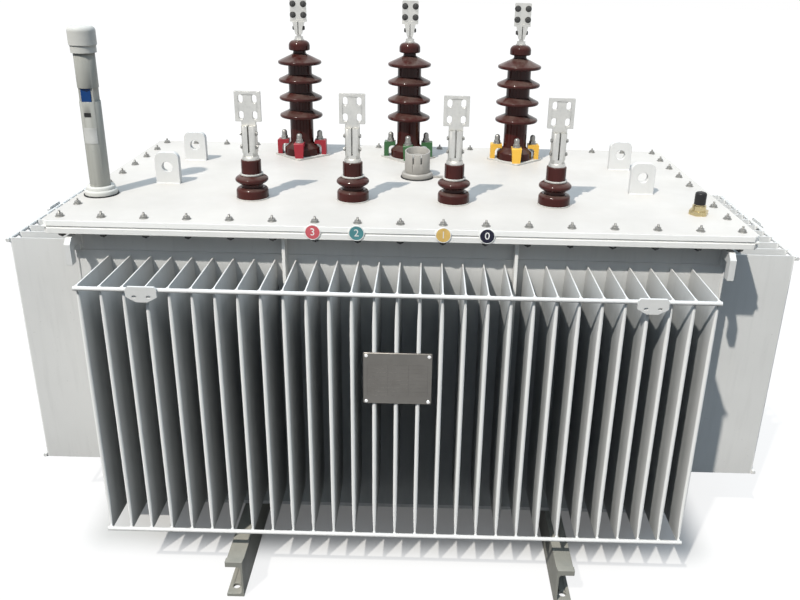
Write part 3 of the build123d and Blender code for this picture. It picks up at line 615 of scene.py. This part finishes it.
def rounded_plate(mesh, where, width, height, thickness, corner, edge, material=0):
    """A flat plate with round corners and an eased front edge, its back on the frame's XY plane."""

    def outline(inset, level):
        loop = []
        for cx, cy, begin in ((1, 1, 0.0), (-1, 1, 90.0), (-1, -1, 180.0), (1, -1, 270.0)):
            for k in range(5):
                angle = math.radians(begin + 22.5 * k)
                reach = max(corner - inset, 0.00005)
                x = cx * (width / 2 - corner) + reach * math.cos(angle)
                y = cy * (height / 2 - corner) + reach * math.sin(angle)
                loop.append(where @ Vector((x, y, level)))
        return loop

    rings(mesh, [outline(0.0, 0.0), outline(0.0, thickness - edge), outline(edge, thickness)], material)


def bent_plate(mesh, place, radius, width, height, thickness):
    """A thin plate bent round an upright pipe, its middle to the front."""
    columns = 12
    loops = []
    for i in range(columns + 1):
        angle = (i / columns - 0.5) * width / radius - math.pi / 2
        outward = Vector((math.cos(angle), math.sin(angle), 0.0))
        loop = []
        for reach, level in ((0.0, -0.5), (thickness, -0.5), (thickness, 0.5), (0.0, 0.5)):
            loop.append(place + outward * (radius + reach) + Vector(UP) * level * height)
        loops.append(loop)
    rings(mesh, loops)


def raised_number(mesh, where, number, size, depth):
    """A number that stands a little proud of the frame's XY plane."""
    curve = bpy.data.curves.new("number", "FONT")
    curve.body = number
    curve.size = size
    curve.extrude = depth
    curve.align_x = "CENTER"
    curve.align_y = "CENTER"
    holder = bpy.data.objects.new("number", curve)
    data = bpy.data.meshes.new_from_object(holder)
    known = len(mesh.verts)
    mesh.from_mesh(data)
    mesh.verts.ensure_lookup_table()
    points = mesh.verts[known:]
    bmesh.ops.transform(mesh, matrix=where, verts=points)
    bmesh.ops.remove_doubles(mesh, verts=points, dist=0.000001)
    bpy.data.objects.remove(holder)
    bpy.data.curves.remove(curve)
    bpy.data.meshes.remove(data)


class TRANSFORMER_OT_tank(Operator):
    """Paint the tank, its fins, bars, ears, ribs and hooks"""

    bl_idname = "transformer.tank"
    bl_label = "Paint Tank"

    def execute(self, context):
        material, colour = tank_paint(), finish_settings().tank_colour
        coat(material, "tank_floor")
        for bank in BANKS:
            # Each bank's paint holds painted shade between its fins and a painted highlight on their noses.
            gap_shaded_paint = finish_of(f"{bank}_bank_paint", paint, colour, bank=bank)
            coat(gap_shaded_paint, f"{bank}_wall", f"{bank}_fins")
            coat(material, f"{bank}_fin_bars", edge=BAR_EDGE)
        # Painted light: the ribs take the paler flange paint, so that they read as lit where the cover's
        # shadow falls on them.
        coat(flange_paint(), "wall_ribs", edge=SHEET_EDGE)
        coat(material, "lifting_hooks", edge=SHEET_EDGE)
        coat(material, "tie_down_ears", edge=SLOTTED_EDGE)
        return {"FINISHED"}


class TRANSFORMER_OT_skids(Operator):
    """Paint the channel skids"""

    bl_idname = "transformer.skids"
    bl_label = "Paint Skids"

    def execute(self, context):
        colour = finish_settings().skid_colour
        dusty = finish_of("skid_paint", paint, colour, rough=0.55, dust=1.6, streaks=0.5)
        coat(dusty, "skid_left", "skid_right", edge=SHEET_EDGE)
        return {"FINISHED"}


class TRANSFORMER_OT_cover(Operator):
    """Paint the cover, its packing, its flange and its lugs"""

    bl_idname = "transformer.cover"
    bl_label = "Paint Cover"

    def execute(self, context):
        finish = finish_settings()
        # The top colour is painted shade on the cover's upward faces.
        looks = {"rough": 0.45, "dust": 0.5, "streaks": 0.12, "top": finish.cover_top_shade_colour}
        coat(finish_of("cover_paint", paint, finish.cover_colour, **looks), "cover", edge=SHEET_EDGE)
        coat(flange_paint(), "flange_long_bars", "flange_short_bars", edge=SHEET_EDGE)
        coat(tank_paint(), "cover_lugs", edge=SHEET_EDGE)
        packing = finish_of("packing_paint", paint, (0.76, 0.755, 0.73), rough=0.5, dust=0.3, streaks=0.3)
        coat(packing, "cover_gasket")
        return {"FINISHED"}


class TRANSFORMER_OT_bushings(Operator):
    """Glaze the porcelain and finish the clamps and terminals of all bushings"""

    bl_idname = "transformer.bushings"
    bl_label = "Finish Bushings"

    def execute(self, context):
        finish = finish_settings()
        coat(finish_of("brown_glaze", glaze, finish.glaze_colour), "hv_porcelains", "lv_porcelains")
        seats = finish_of("seat_rubber", moulded, (0.50, 0.49, 0.46), rough=0.6)
        coat(seats, "hv_bases", "lv_bases", edge=MOULDED_EDGE)
        looks = {"rough": 0.34, "dust": 0.5, "streaks": 0.2, "shine": 0.35}
        for phase in HV_COLOURS:
            glossy = finish_of(f"{phase}_paint", paint, getattr(finish, f"{phase}_colour"), **looks)
            coat(glossy, f"hv_clamps_{phase}", edge=SHEET_EDGE)
        tinned = finish_of("tinned_metal", metal, finish.tin_colour, rough=0.40, spangle=0.25)
        coat(tinned, "hv_caps", "hv_terminals", "lv_nuts", "lv_clamps", "lv_flags", edge=METAL_EDGE)
        return {"FINISHED"}


class TRANSFORMER_OT_fittings(Operator):
    """Finish the gauge tube, the relief valve and the plug"""

    bl_idname = "transformer.fittings"
    bl_label = "Finish Fittings"

    def execute(self, context):
        finish = finish_settings()
        grey = finish_of("gauge_paint", paint, finish.gauge_colour, rough=0.45, dust=0.3, streaks=0.3)
        coat(grey, "gauge_tube", edge=METAL_EDGE)
        coat(gauge_cap_paint(), "gauge_base", "gauge_cap")
        window = finish_of("window_blue", moulded, finish.window_colour, rough=0.18, grain=60.0)
        coat(window, "gauge_window", edge=MOULDED_EDGE)
        cast = finish_of("cast_metal", metal, finish.cast_colour, rough=0.55, metallic=0.3)
        coat(cast, "relief_valve", "relief_valve_hood", edge=CAST_EDGE)
        brass = finish_of("plug_brass", metal, finish.brass_colour, rough=0.26, tarnish=0.3)
        coat(brass, "plug_body", edge=METAL_EDGE)
        plastic = finish_of("black_plastic", moulded, BLACK, rough=0.42)
        coat(plastic, "plug_cap", edge=METAL_EDGE)
        return {"FINISHED"}


class TRANSFORMER_OT_cover_bolts(Operator):
    """Set the bolts along the cover's four edges, with nuts above it and under the flange"""

    bl_idname = "transformer.cover_bolts"
    bl_label = "Cover Bolts"

    def places(self, sizes):
        """Bolts at the corners and at whole pitches between them, but none under the gauge's foot."""
        pitch = sizes.cover_pitch
        reach_x, reach_y = COVER_HIGH.x - sizes.cover_inset, COVER_HIGH.y - sizes.cover_inset
        steps_x, steps_y = (int(reach / pitch - CORNER_SHARE) for reach in (reach_x, reach_y))
        across = [i * pitch for i in range(-steps_x, steps_x + 1)] + [-reach_x, reach_x]
        along = [i * pitch for i in range(-steps_y, steps_y + 1)]
        edges = [(x, y) for x in across for y in (-reach_y, reach_y)]
        edges += [(x, y) for y in along for x in (-reach_x, reach_x)]
        foot_low, foot_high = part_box("gauge_base")
        middle = (foot_low + foot_high) / 2
        clear = (foot_high.x - foot_low.x) / 2 + sizes.cover_flats
        return [(x, y) for x, y in edges if math.hypot(x - middle.x, y - middle.y) > clear]

    def execute(self, context):
        sizes = context.scene.transformer_fasteners
        chance = random.Random(SEEDS["cover_bolts"])
        above, below = bmesh.new(), bmesh.new()
        for x, y in self.places(sizes):
            turn = chance.uniform(0.0, 1.0)
            over, under = towards((x, y, COVER_HIGH.z), UP), towards((x, y, FLANGE_LOW.z), DOWN)
            nut_on_stud(above, over, sizes.cover_flats, turn, sizes.cover_stud)
            nut_on_stud(below, under, sizes.flange_flats, turn, sizes.flange_stud, nuts=2)
        new_piece("cover_nuts", above, [zinc_plate()])
        new_piece("flange_nuts", below, [dark_steel()])
        return {"FINISHED"}


class TRANSFORMER_OT_clamp_nuts(Operator):
    """Set a domed nut on each finger clamp of the high-voltage bushings"""

    bl_idname = "transformer.clamp_nuts"
    bl_label = "Clamp Nuts"

    def execute(self, context):
        sizes = context.scene.transformer_fasteners
        mesh = bmesh.new()
        for colour in HV_COLOURS:
            low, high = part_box(f"hv_clamps_{colour}")
            centre = (low + high) / 2
            reach = (high.x - low.x) / 2 * CLAMP_NUT_LINE
            for axis in (LEFT, RIGHT, FRONT, BACK):
                place = Vector((centre.x, centre.y, high.z)) + Vector(axis) * reach
                domed_nut(mesh, towards(place, UP), sizes.clamp_nut_radius, sizes.clamp_nut_height)
        new_piece("clamp_nuts", mesh, [zinc_plate()])
        return {"FINISHED"}


class TRANSFORMER_OT_palm_bolts(Operator):
    """Bolt the high-voltage palms and the jaws that hold them"""

    bl_idname = "transformer.palm_bolts"
    bl_label = "Palm Bolts"

    def execute(self, context):
        sizes = context.scene.transformer_fasteners
        chance = random.Random(SEEDS["palm_bolts"])
        mesh = bmesh.new()
        low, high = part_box("hv_terminals")
        middle_y, tip = (low.y + high.y) / 2, sizes.palm_flats * 0.3
        for colour in HV_COLOURS:
            palm = f"hv_palm_{colour}"
            face = mount_place(palm)
            half_x, half_z = mount_size(palm, "spacing_x_mm") / 2, mount_size(palm, "spacing_y_mm") / 2
            for x in (face.x - half_x, face.x + half_x):
                for z in (face.z - half_z, face.z + half_z):
                    turn = chance.uniform(0.0, 1.0)
                    front = towards((x, face.y, z), FRONT)
                    back = towards((x, 2 * middle_y - face.y, z), BACK)
                    nut_on_stud(mesh, front, sizes.palm_flats, turn, tip)
                    nut_on_stud(mesh, back, sizes.palm_flats, turn)
            for axis in (LEFT, RIGHT):
                place = Vector((face.x, middle_y, low.z + sizes.jaw_rise)) + Vector(axis) * sizes.jaw_reach
                nut_on_stud(mesh, towards(place, axis), sizes.jaw_flats, 0.0)
        new_piece("palm_bolts", mesh, [dark_steel()])
        return {"FINISHED"}


class TRANSFORMER_OT_flag_bolts(Operator):
    """Bolt the clamps that hold the low-voltage flags"""

    bl_idname = "transformer.flag_bolts"
    bl_label = "Flag Clamp Bolts"

    def execute(self, context):
        flats = context.scene.transformer_fasteners.flag_flats
        chance = random.Random(SEEDS["flag_bolts"])
        mesh = bmesh.new()
        low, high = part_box("lv_clamps")
        line = low.y + (high.y - low.y) * FLAG_BOLT_LINE
        for left, right in spans("lv_clamps", axis=0, gap=0.05):
            for share in FLAG_BOLT_LEVELS:
                level = low.z + (high.z - low.z) * share
                turn = chance.uniform(0.0, 1.0)
                nut_on_stud(mesh, towards((left, line, level), LEFT), flats, turn)
                nut_on_stud(mesh, towards((right, line, level), RIGHT), flats, turn)
        new_piece("flag_bolts", mesh, [zinc_plate()])
        return {"FINISHED"}


class TRANSFORMER_OT_seals(Operator):
    """Lay the black packing that shows under the gauge's foot, and a like black ring under the relief valve
    as painted shadow at its foot
    """

    bl_idname = "transformer.seals"
    bl_label = "Seals"

    def execute(self, context):
        width = context.scene.transformer_fasteners.seal_width
        mesh = bmesh.new()
        for node in ("gauge_base", "relief_valve"):
            low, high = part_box(node)
            radius = (high.y - low.y) / 2
            place = (low.x + radius, low.y + radius, COVER_HIGH.z)
            # The ring under the gauge's foot is its packing; the one under the relief valve is painted
            # shadow.
            washer(mesh, towards(place, UP), radius + width, 0.0, width)
        new_piece("foot_seals", mesh, [black_rubber()])
        return {"FINISHED"}


class TRANSFORMER_OT_tank_welds(Operator):
    """Lay the weld runs along the tank's seams, on the hooks and between the fins and their bars"""

    bl_idname = "transformer.tank_welds"
    bl_label = "Tank Welds"

    def seams(self, mesh, sizes, chance):
        """Runs down the four corners and along the walls over the fins."""
        end, depth = WALL_HIGH.x, abs(WALL_LOW.y)
        radius, over_fins = sizes.seam_weld, FIN_HIGH.z + sizes.seam_rise
        for y in (-depth, depth):
            weld_bead(mesh, (-end, y, over_fins), (end, y, over_fins), radius * 0.75, chance)
            for x in (-end, end):
                weld_bead(mesh, (x, y, WALL_LOW.z), (x, y, FLANGE_LOW.z), radius, chance)

    def hooks(self, mesh, radius, chance):
        """A run on each side of a hook, where it meets the wall."""
        low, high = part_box("lifting_hooks")
        depth = abs(WALL_LOW.y)
        root = high.z - (high.z - low.z) * HOOK_WELD_LENGTH
        for sides in spans("lifting_hooks", axis=0, gap=0.05):
            for x in sides:
                for y in (-depth, depth):
                    weld_bead(mesh, (x, y, root), (x, y, high.z), radius, chance)

    def noses(self, mesh, radius, chance, bank, axis):
        """Two short runs where each fin's nose meets a bar, over it and under it."""
        out = 1 - axis
        bar_low, bar_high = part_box(f"{bank}_fin_bars")
        fin_low, fin_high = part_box(f"{bank}_fins")
        thickness = bar_high[out] - bar_low[out]
        nose = fin_low[out] if bar_low[out] < 0 else fin_high[out]
        half_run, rise = Vector(RIGHT if axis == 0 else BACK) * radius * 1.6, thickness * 0.42
        for low, high in spans(f"{bank}_fins", axis):
            for level in (bar_low.z + thickness / 2, bar_high.z - thickness / 2):
                for z in (level - rise, level + rise):
                    place = Vector((0.0, 0.0, z))
                    place[axis] = (low + high) / 2
                    place[out] = nose + math.copysign(radius * 0.5, nose)
                    weld_bead(mesh, place - half_run, place + half_run, radius, chance)

    def execute(self, context):
        sizes = context.scene.transformer_fasteners
        chance = random.Random(SEEDS["tank_welds"])
        mesh = bmesh.new()
        self.seams(mesh, sizes, chance)
        self.hooks(mesh, sizes.seam_weld, chance)
        for bank, axis in BANKS.items():
            self.noses(mesh, sizes.nose_weld, chance, bank, axis)
        new_piece("tank_welds", mesh, [tank_paint()], smooth=60.0)
        return {"FINISHED"}


class TRANSFORMER_OT_lug_welds(Operator):
    """Lay the weld runs at the feet of the cover's lugs"""

    bl_idname = "transformer.lug_welds"
    bl_label = "Lug Welds"

    def execute(self, context):
        radius = context.scene.transformer_fasteners.seam_weld
        chance = random.Random(SEEDS["lug_welds"])
        mesh = bmesh.new()
        for lug in ("lug_front_left", "lug_back_left"):
            line, half = mount_place(lug).y, mount_size(lug, "length_mm") / 2
            for low, high in spans("cover_lugs", axis=0, gap=0.1):
                for y in (line - half, line + half):
                    weld_bead(mesh, (low, y, COVER_HIGH.z), (high, y, COVER_HIGH.z), radius, chance)
        new_piece("lug_welds", mesh, [tank_paint()], smooth=60.0)
        return {"FINISHED"}


class TRANSFORMER_OT_badges(Operator):
    """Fix the round numbered badges to the cover's front edge"""

    bl_idname = "transformer.badges"
    bl_label = "Badges"

    def execute(self, context):
        sizes = context.scene.transformer_plates
        radius, thickness, relief = sizes.badge_radius, 0.0022, 0.0006
        rim = [(radius, 0.0), (radius, thickness * 0.8), (radius * 0.97, thickness)]
        field = [(radius * 0.88, thickness * 0.9), (radius * 0.87, thickness * 1.1)]
        places = (-sizes.badge_reach, -sizes.badge_step, sizes.badge_step, sizes.badge_reach)
        white = finish_of("badge_white", moulded, (0.80, 0.80, 0.78), rough=0.35, grain=120.0)
        for i, (across, (number, colour)) in enumerate(zip(places, BADGES)):
            mesh = bmesh.new()
            where = upright((across, COVER_LOW.y, FLANGE_LOW.z + radius))
            turned(mesh, where, rim, sides=40)
            turned(mesh, where, field, sides=40, material=1)
            face = where @ Matrix.Translation((0.0, 0.0, thickness))
            raised_number(mesh, face, number, radius * 1.3, relief)
            tone = finish_of(f"badge_field_{i}", moulded, colour, rough=0.35, grain=120.0)
            new_piece(f"badge_{i}", mesh, [white, tone])
        return {"FINISHED"}


class TRANSFORMER_OT_name_plate(Operator):
    """Screw the bare, ruled name plate to the noses of the front fins"""

    bl_idname = "transformer.name_plate"
    bl_label = "Name Plate"

    def execute(self, context):
        sizes = context.scene.transformer_plates
        width, height, thickness = sizes.plate_width, sizes.plate_height, 0.003
        aside, line, sink, screw_inset = 0.003, 0.0007, 0.0001, 0.007
        screw_head = [(0.0042, 0.0), (0.0042, 0.0008), (0.0034, 0.0018), (0.0018, 0.0024)]
        mesh = bmesh.new()
        where = upright((aside, FIN_LOW.y, sizes.plate_level))
        rounded_plate(mesh, where, width, height, thickness, corner=0.003, edge=0.0012)
        face = where @ Matrix.Translation((0.0, 0.0, thickness - sink))
        rules = [(0.0, height * (0.27 - 0.075 * i), width * 0.88, line) for i in range(9)]
        columns = (-0.44, -0.14, 0.16, 0.44)
        rules += [(width * share, height * -0.03, line, height * 0.6) for share in columns]
        for x, y, across, up in rules:
            middle = face @ Matrix.Translation((x, y, 0.0))
            rounded_plate(mesh, middle, across, up, thickness=0.0003, corner=0.0002, edge=0.0001, material=1)
        for x in (screw_inset - width / 2, width / 2 - screw_inset):
            for y in (screw_inset - height / 2, height / 2 - screw_inset):
                turned(mesh, face @ Matrix.Translation((x, y, 0.0)), screw_head, sides=16, material=2)
        plate = finish_of("plate_metal", metal, (0.17, 0.163, 0.152), rough=0.42, tarnish=0.2)
        etched = finish_of("plate_lines", metal, (0.13, 0.125, 0.12), rough=0.5, tarnish=0.2)
        bright = finish_of("bright_screw", metal, (0.85, 0.85, 0.84), rough=0.2, tarnish=0.1)
        new_piece("name_plate", mesh, [plate, etched, bright])
        return {"FINISHED"}


class TRANSFORMER_OT_gauge_plates(Operator):
    """Bend the bare label round the gauge and set a dark insert in its slot, as painted shade for the slot's
    inside
    """

    bl_idname = "transformer.gauge_plates"
    bl_label = "Gauge Plates"

    def execute(self, context):
        sizes = context.scene.transformer_plates
        radius = (GAUGE_HIGH.x - GAUGE_LOW.x) / 2
        mesh = bmesh.new()
        label = Vector((GAUGE_AXIS.x, GAUGE_AXIS.y, COVER_HIGH.z + sizes.label_rise))
        bent_plate(mesh, label, radius, sizes.label_width, sizes.label_height, thickness=0.0006)
        # Painted shade: a black plate set in the slot, where only the shade inside it would be dark.
        width, height, sink = 0.0165, 0.0105, 0.005
        slot = upright((GAUGE_AXIS.x, GAUGE_LOW.y + sink, COVER_HIGH.z + sizes.shade_insert_rise))
        rounded_plate(mesh, slot, width, height, thickness=0.003, corner=0.002, edge=0.0006, material=1)
        pale = finish_of("label_pale", moulded, (0.50, 0.50, 0.48), rough=0.4, grain=120.0)
        new_piece("gauge_plates", mesh, [pale, black_rubber()])
        return {"FINISHED"}


class TRANSFORMER_OT_gauge_collar(Operator):
    """Set the collar round the gauge's tube, on its foot"""

    bl_idname = "transformer.gauge_collar"
    bl_label = "Gauge Collar"

    def execute(self, context):
        sizes = context.scene.transformer_plates
        radius, height = sizes.collar_radius, sizes.collar_height
        edge = height * 0.3
        mesh = bmesh.new()
        profile = [(radius, 0.0), (radius, height - edge), (radius - edge * 0.4, height - edge * 0.3)]
        profile.append((radius - edge, height))
        turned(mesh, towards((GAUGE_AXIS.x, GAUGE_AXIS.y, GAUGE_LOW.z), UP), profile, sides=40)
        new_piece("gauge_collar", mesh, [gauge_cap_paint()])
        return {"FINISHED"}


def rays_to_the_eye(wiring):
    """One for rays that reach the camera straight, by a mirror or through glass, and zero for the rest."""
    path = wiring.nodes.new("ShaderNodeLightPath").outputs
    total = path["Is Camera Ray"]
    for ray in ("Is Glossy Ray", "Is Transmission Ray"):
        total = wiring.reckon("ADD", total, path[ray], use_clamp=True)
    return total


def beyond_the_tank(wiring, fade=0.12, under=0.10, clear=0.78):
    """Low on the floor under the tank, rising over the fade's width outside it."""
    place = wiring.nodes.new("ShaderNodeTexCoord").outputs["Object"]
    for operation, second in (
        ("ABSOLUTE", {}),
        ("SUBTRACT", {1: (WALL_HIGH.x, abs(WALL_LOW.y), 0.0)}),
        ("MULTIPLY", {1: (1.0 / fade, 1.0 / fade, 0.0)}),
        ("MAXIMUM", {1: (0.0, 0.0, 0.0)}),
    ):
        place = wiring.add("ShaderNodeVectorMath", 0, {0: place, **second}, operation=operation)
    distance = wiring.add("ShaderNodeVectorMath", "Value", {0: place}, operation="LENGTH")
    return wiring.span(distance, 0.0, 1.0, under, clear, interpolation_type="SMOOTHSTEP")


def floor_material(stage):
    """Pale for the camera, white away from the transformer, and dark for the light that it throws back."""
    material = bpy.data.materials.new("studio_floor")
    material.use_nodes = True
    wiring = Wiring(material.node_tree)
    pale = wiring.nodes["Principled BSDF"]
    wiring.put(pale.inputs["Base Color"], stage.floor_colour)
    wiring.put(pale.inputs["Roughness"], 0.9)
    glow = wiring.add("ShaderNodeEmission", 0, {"Strength": stage.floor_glow})
    dark = wiring.add("ShaderNodeBsdfDiffuse", 0, {"Color": stage.bounce_colour})
    seen = wiring.mixed(beyond_the_tank(wiring), pale.outputs[0], glow)
    surface = wiring.mixed(rays_to_the_eye(wiring), dark, seen)
    wiring.put(wiring.nodes["Material Output"].inputs["Surface"], surface)
    return material


def lay_floor(scene, stage, reach=30.0):
    mesh = bmesh.new()
    corners = ((-reach, -reach, 0.0), (reach, -reach, 0.0), (reach, reach, 0.0), (-reach, reach, 0.0))
    mesh.faces.new([mesh.verts.new(corner) for corner in corners])
    data = bpy.data.meshes.new("floor")
    mesh.to_mesh(data)
    mesh.free()
    data.materials.append(floor_material(stage))
    floor = bpy.data.objects.new("floor", data)
    scene.collection.objects.link(floor)


def hang_sky(scene, stage):
    """Soft light that grows from the horizon to the zenith, behind a white background."""
    world = bpy.data.worlds.new("studio")
    scene.world = world
    world.use_nodes = True
    wiring = Wiring(world.node_tree)
    sky = wiring.nodes["Background"]
    direction = wiring.nodes.new("ShaderNodeTexCoord").outputs["Generated"]
    height = wiring.add("ShaderNodeSeparateXYZ", "Z", {0: direction})
    fade = wiring.reckon("POWER", wiring.reckon("MAXIMUM", height, 0.0), stage.sky_falloff)
    strength = wiring.span(fade, 0.0, 1.0, stage.horizon_strength, stage.zenith_strength)
    wiring.put(sky.inputs["Color"], stage.sky_colour)
    wiring.put(sky.inputs["Strength"], strength)
    white = wiring.add("ShaderNodeBackground", 0, {"Color": (1.0, 1.0, 1.0)})
    surface = wiring.mixed(rays_to_the_eye(wiring), sky.outputs[0], white)
    wiring.put(wiring.nodes["World Output"].inputs["Surface"], surface)


def hang_key(scene, stage, distance=7.0):
    lamp = bpy.data.lights.new("key", "SUN")
    lamp.energy = stage.key_strength
    lamp.angle = stage.key_angle
    lamp.color = stage.key_colour
    key = bpy.data.objects.new("key", lamp)
    scene.collection.objects.link(key)
    direction = Vector(stage.key_from).normalized()
    key.matrix_world = towards(direction * distance, direction)


def set_camera(scene, stage):
    """The camera at the eye, turned by yaw, pitch and roll, with the lens axis off the picture's middle."""
    level = math.cos(stage.pitch)
    forward = Vector((math.sin(stage.yaw) * level, math.cos(stage.yaw) * level, -math.sin(stage.pitch)))
    right = Vector((math.cos(stage.yaw), -math.sin(stage.yaw), 0.0))
    down = forward.cross(right)
    image_right = math.cos(stage.roll) * right + math.sin(stage.roll) * down
    image_down = -math.sin(stage.roll) * right + math.cos(stage.roll) * down
    lens = bpy.data.cameras.new("camera")
    lens.sensor_fit = "HORIZONTAL"
    lens.sensor_width = 36.0
    lens.lens = stage.focal_pixels / stage.picture_width * lens.sensor_width
    lens.shift_x = (stage.picture_width / 2 - stage.centre_x) / stage.picture_width
    lens.shift_y = (stage.centre_y - stage.picture_height / 2) / stage.picture_width
    camera = bpy.data.objects.new("camera", lens)
    scene.collection.objects.link(camera)
    turn = Matrix((image_right, -image_down, -forward)).transposed().to_4x4()
    camera.matrix_world = Matrix.Translation(stage.eye) @ turn
    scene.camera = camera


class TRANSFORMER_OT_stage(Operator):
    """Lay the floor, hang the lights and set the camera"""

    bl_idname = "transformer.stage"
    bl_label = "Stage"

    def execute(self, context):
        scene = context.scene
        stage = scene.transformer_stage
        scene.view_settings.view_transform = "Standard"
        lay_floor(scene, stage)
        hang_sky(scene, stage)
        hang_key(scene, stage)
        set_camera(scene, stage)
        return {"FINISHED"}


class TRANSFORMER_PT_finish(Panel):
    """Lists the transformer's pieces and settings"""

    bl_idname = "TRANSFORMER_PT_finish"
    bl_label = "Transformer"
    bl_space_type = "VIEW_3D"
    bl_region_type = "UI"
    bl_category = "Transformer"

    def draw(self, context):
        column = self.layout.column(align=True)
        for operator in OPERATORS:
            column.operator(operator.bl_idname)
        for group, place in GROUPS.items():
            box = self.layout.box()
            held = getattr(context.scene, place)
            for name in group.__annotations__:
                box.prop(held, name)


GROUPS = {
    FinishSettings: "transformer_finish",
    FastenerSettings: "transformer_fasteners",
    PlateSettings: "transformer_plates",
    StageSettings: "transformer_stage",
}
OPERATORS = (
    TRANSFORMER_OT_tank,
    TRANSFORMER_OT_skids,
    TRANSFORMER_OT_cover,
    TRANSFORMER_OT_bushings,
    TRANSFORMER_OT_fittings,
    TRANSFORMER_OT_cover_bolts,
    TRANSFORMER_OT_clamp_nuts,
    TRANSFORMER_OT_palm_bolts,
    TRANSFORMER_OT_flag_bolts,
    TRANSFORMER_OT_seals,
    TRANSFORMER_OT_tank_welds,
    TRANSFORMER_OT_lug_welds,
    TRANSFORMER_OT_badges,
    TRANSFORMER_OT_name_plate,
    TRANSFORMER_OT_gauge_plates,
    TRANSFORMER_OT_gauge_collar,
    TRANSFORMER_OT_stage,
)


def register():
    for group, place in GROUPS.items():
        bpy.utils.register_class(group)
        setattr(bpy.types.Scene, place, PointerProperty(type=group))
    for operator in OPERATORS:
        bpy.utils.register_class(operator)
    bpy.utils.register_class(TRANSFORMER_PT_finish)


def unregister():
    bpy.utils.unregister_class(TRANSFORMER_PT_finish)
    for operator in reversed(OPERATORS):
        bpy.utils.unregister_class(operator)
    for group, place in reversed(list(GROUPS.items())):
        delattr(bpy.types.Scene, place)
        bpy.utils.unregister_class(group)


def main():
    register()
    bpy.ops.transformer.tank()
    bpy.ops.transformer.skids()
    bpy.ops.transformer.cover()
    bpy.ops.transformer.bushings()
    bpy.ops.transformer.fittings()
    bpy.ops.transformer.cover_bolts()
    bpy.ops.transformer.clamp_nuts()
    bpy.ops.transformer.palm_bolts()
    bpy.ops.transformer.flag_bolts()
    bpy.ops.transformer.seals()
    bpy.ops.transformer.tank_welds()
    bpy.ops.transformer.lug_welds()
    bpy.ops.transformer.badges()
    bpy.ops.transformer.name_plate()
    bpy.ops.transformer.gauge_plates()
    bpy.ops.transformer.gauge_collar()
    bpy.ops.transformer.stage()


if __name__ == "__main__":
    main()
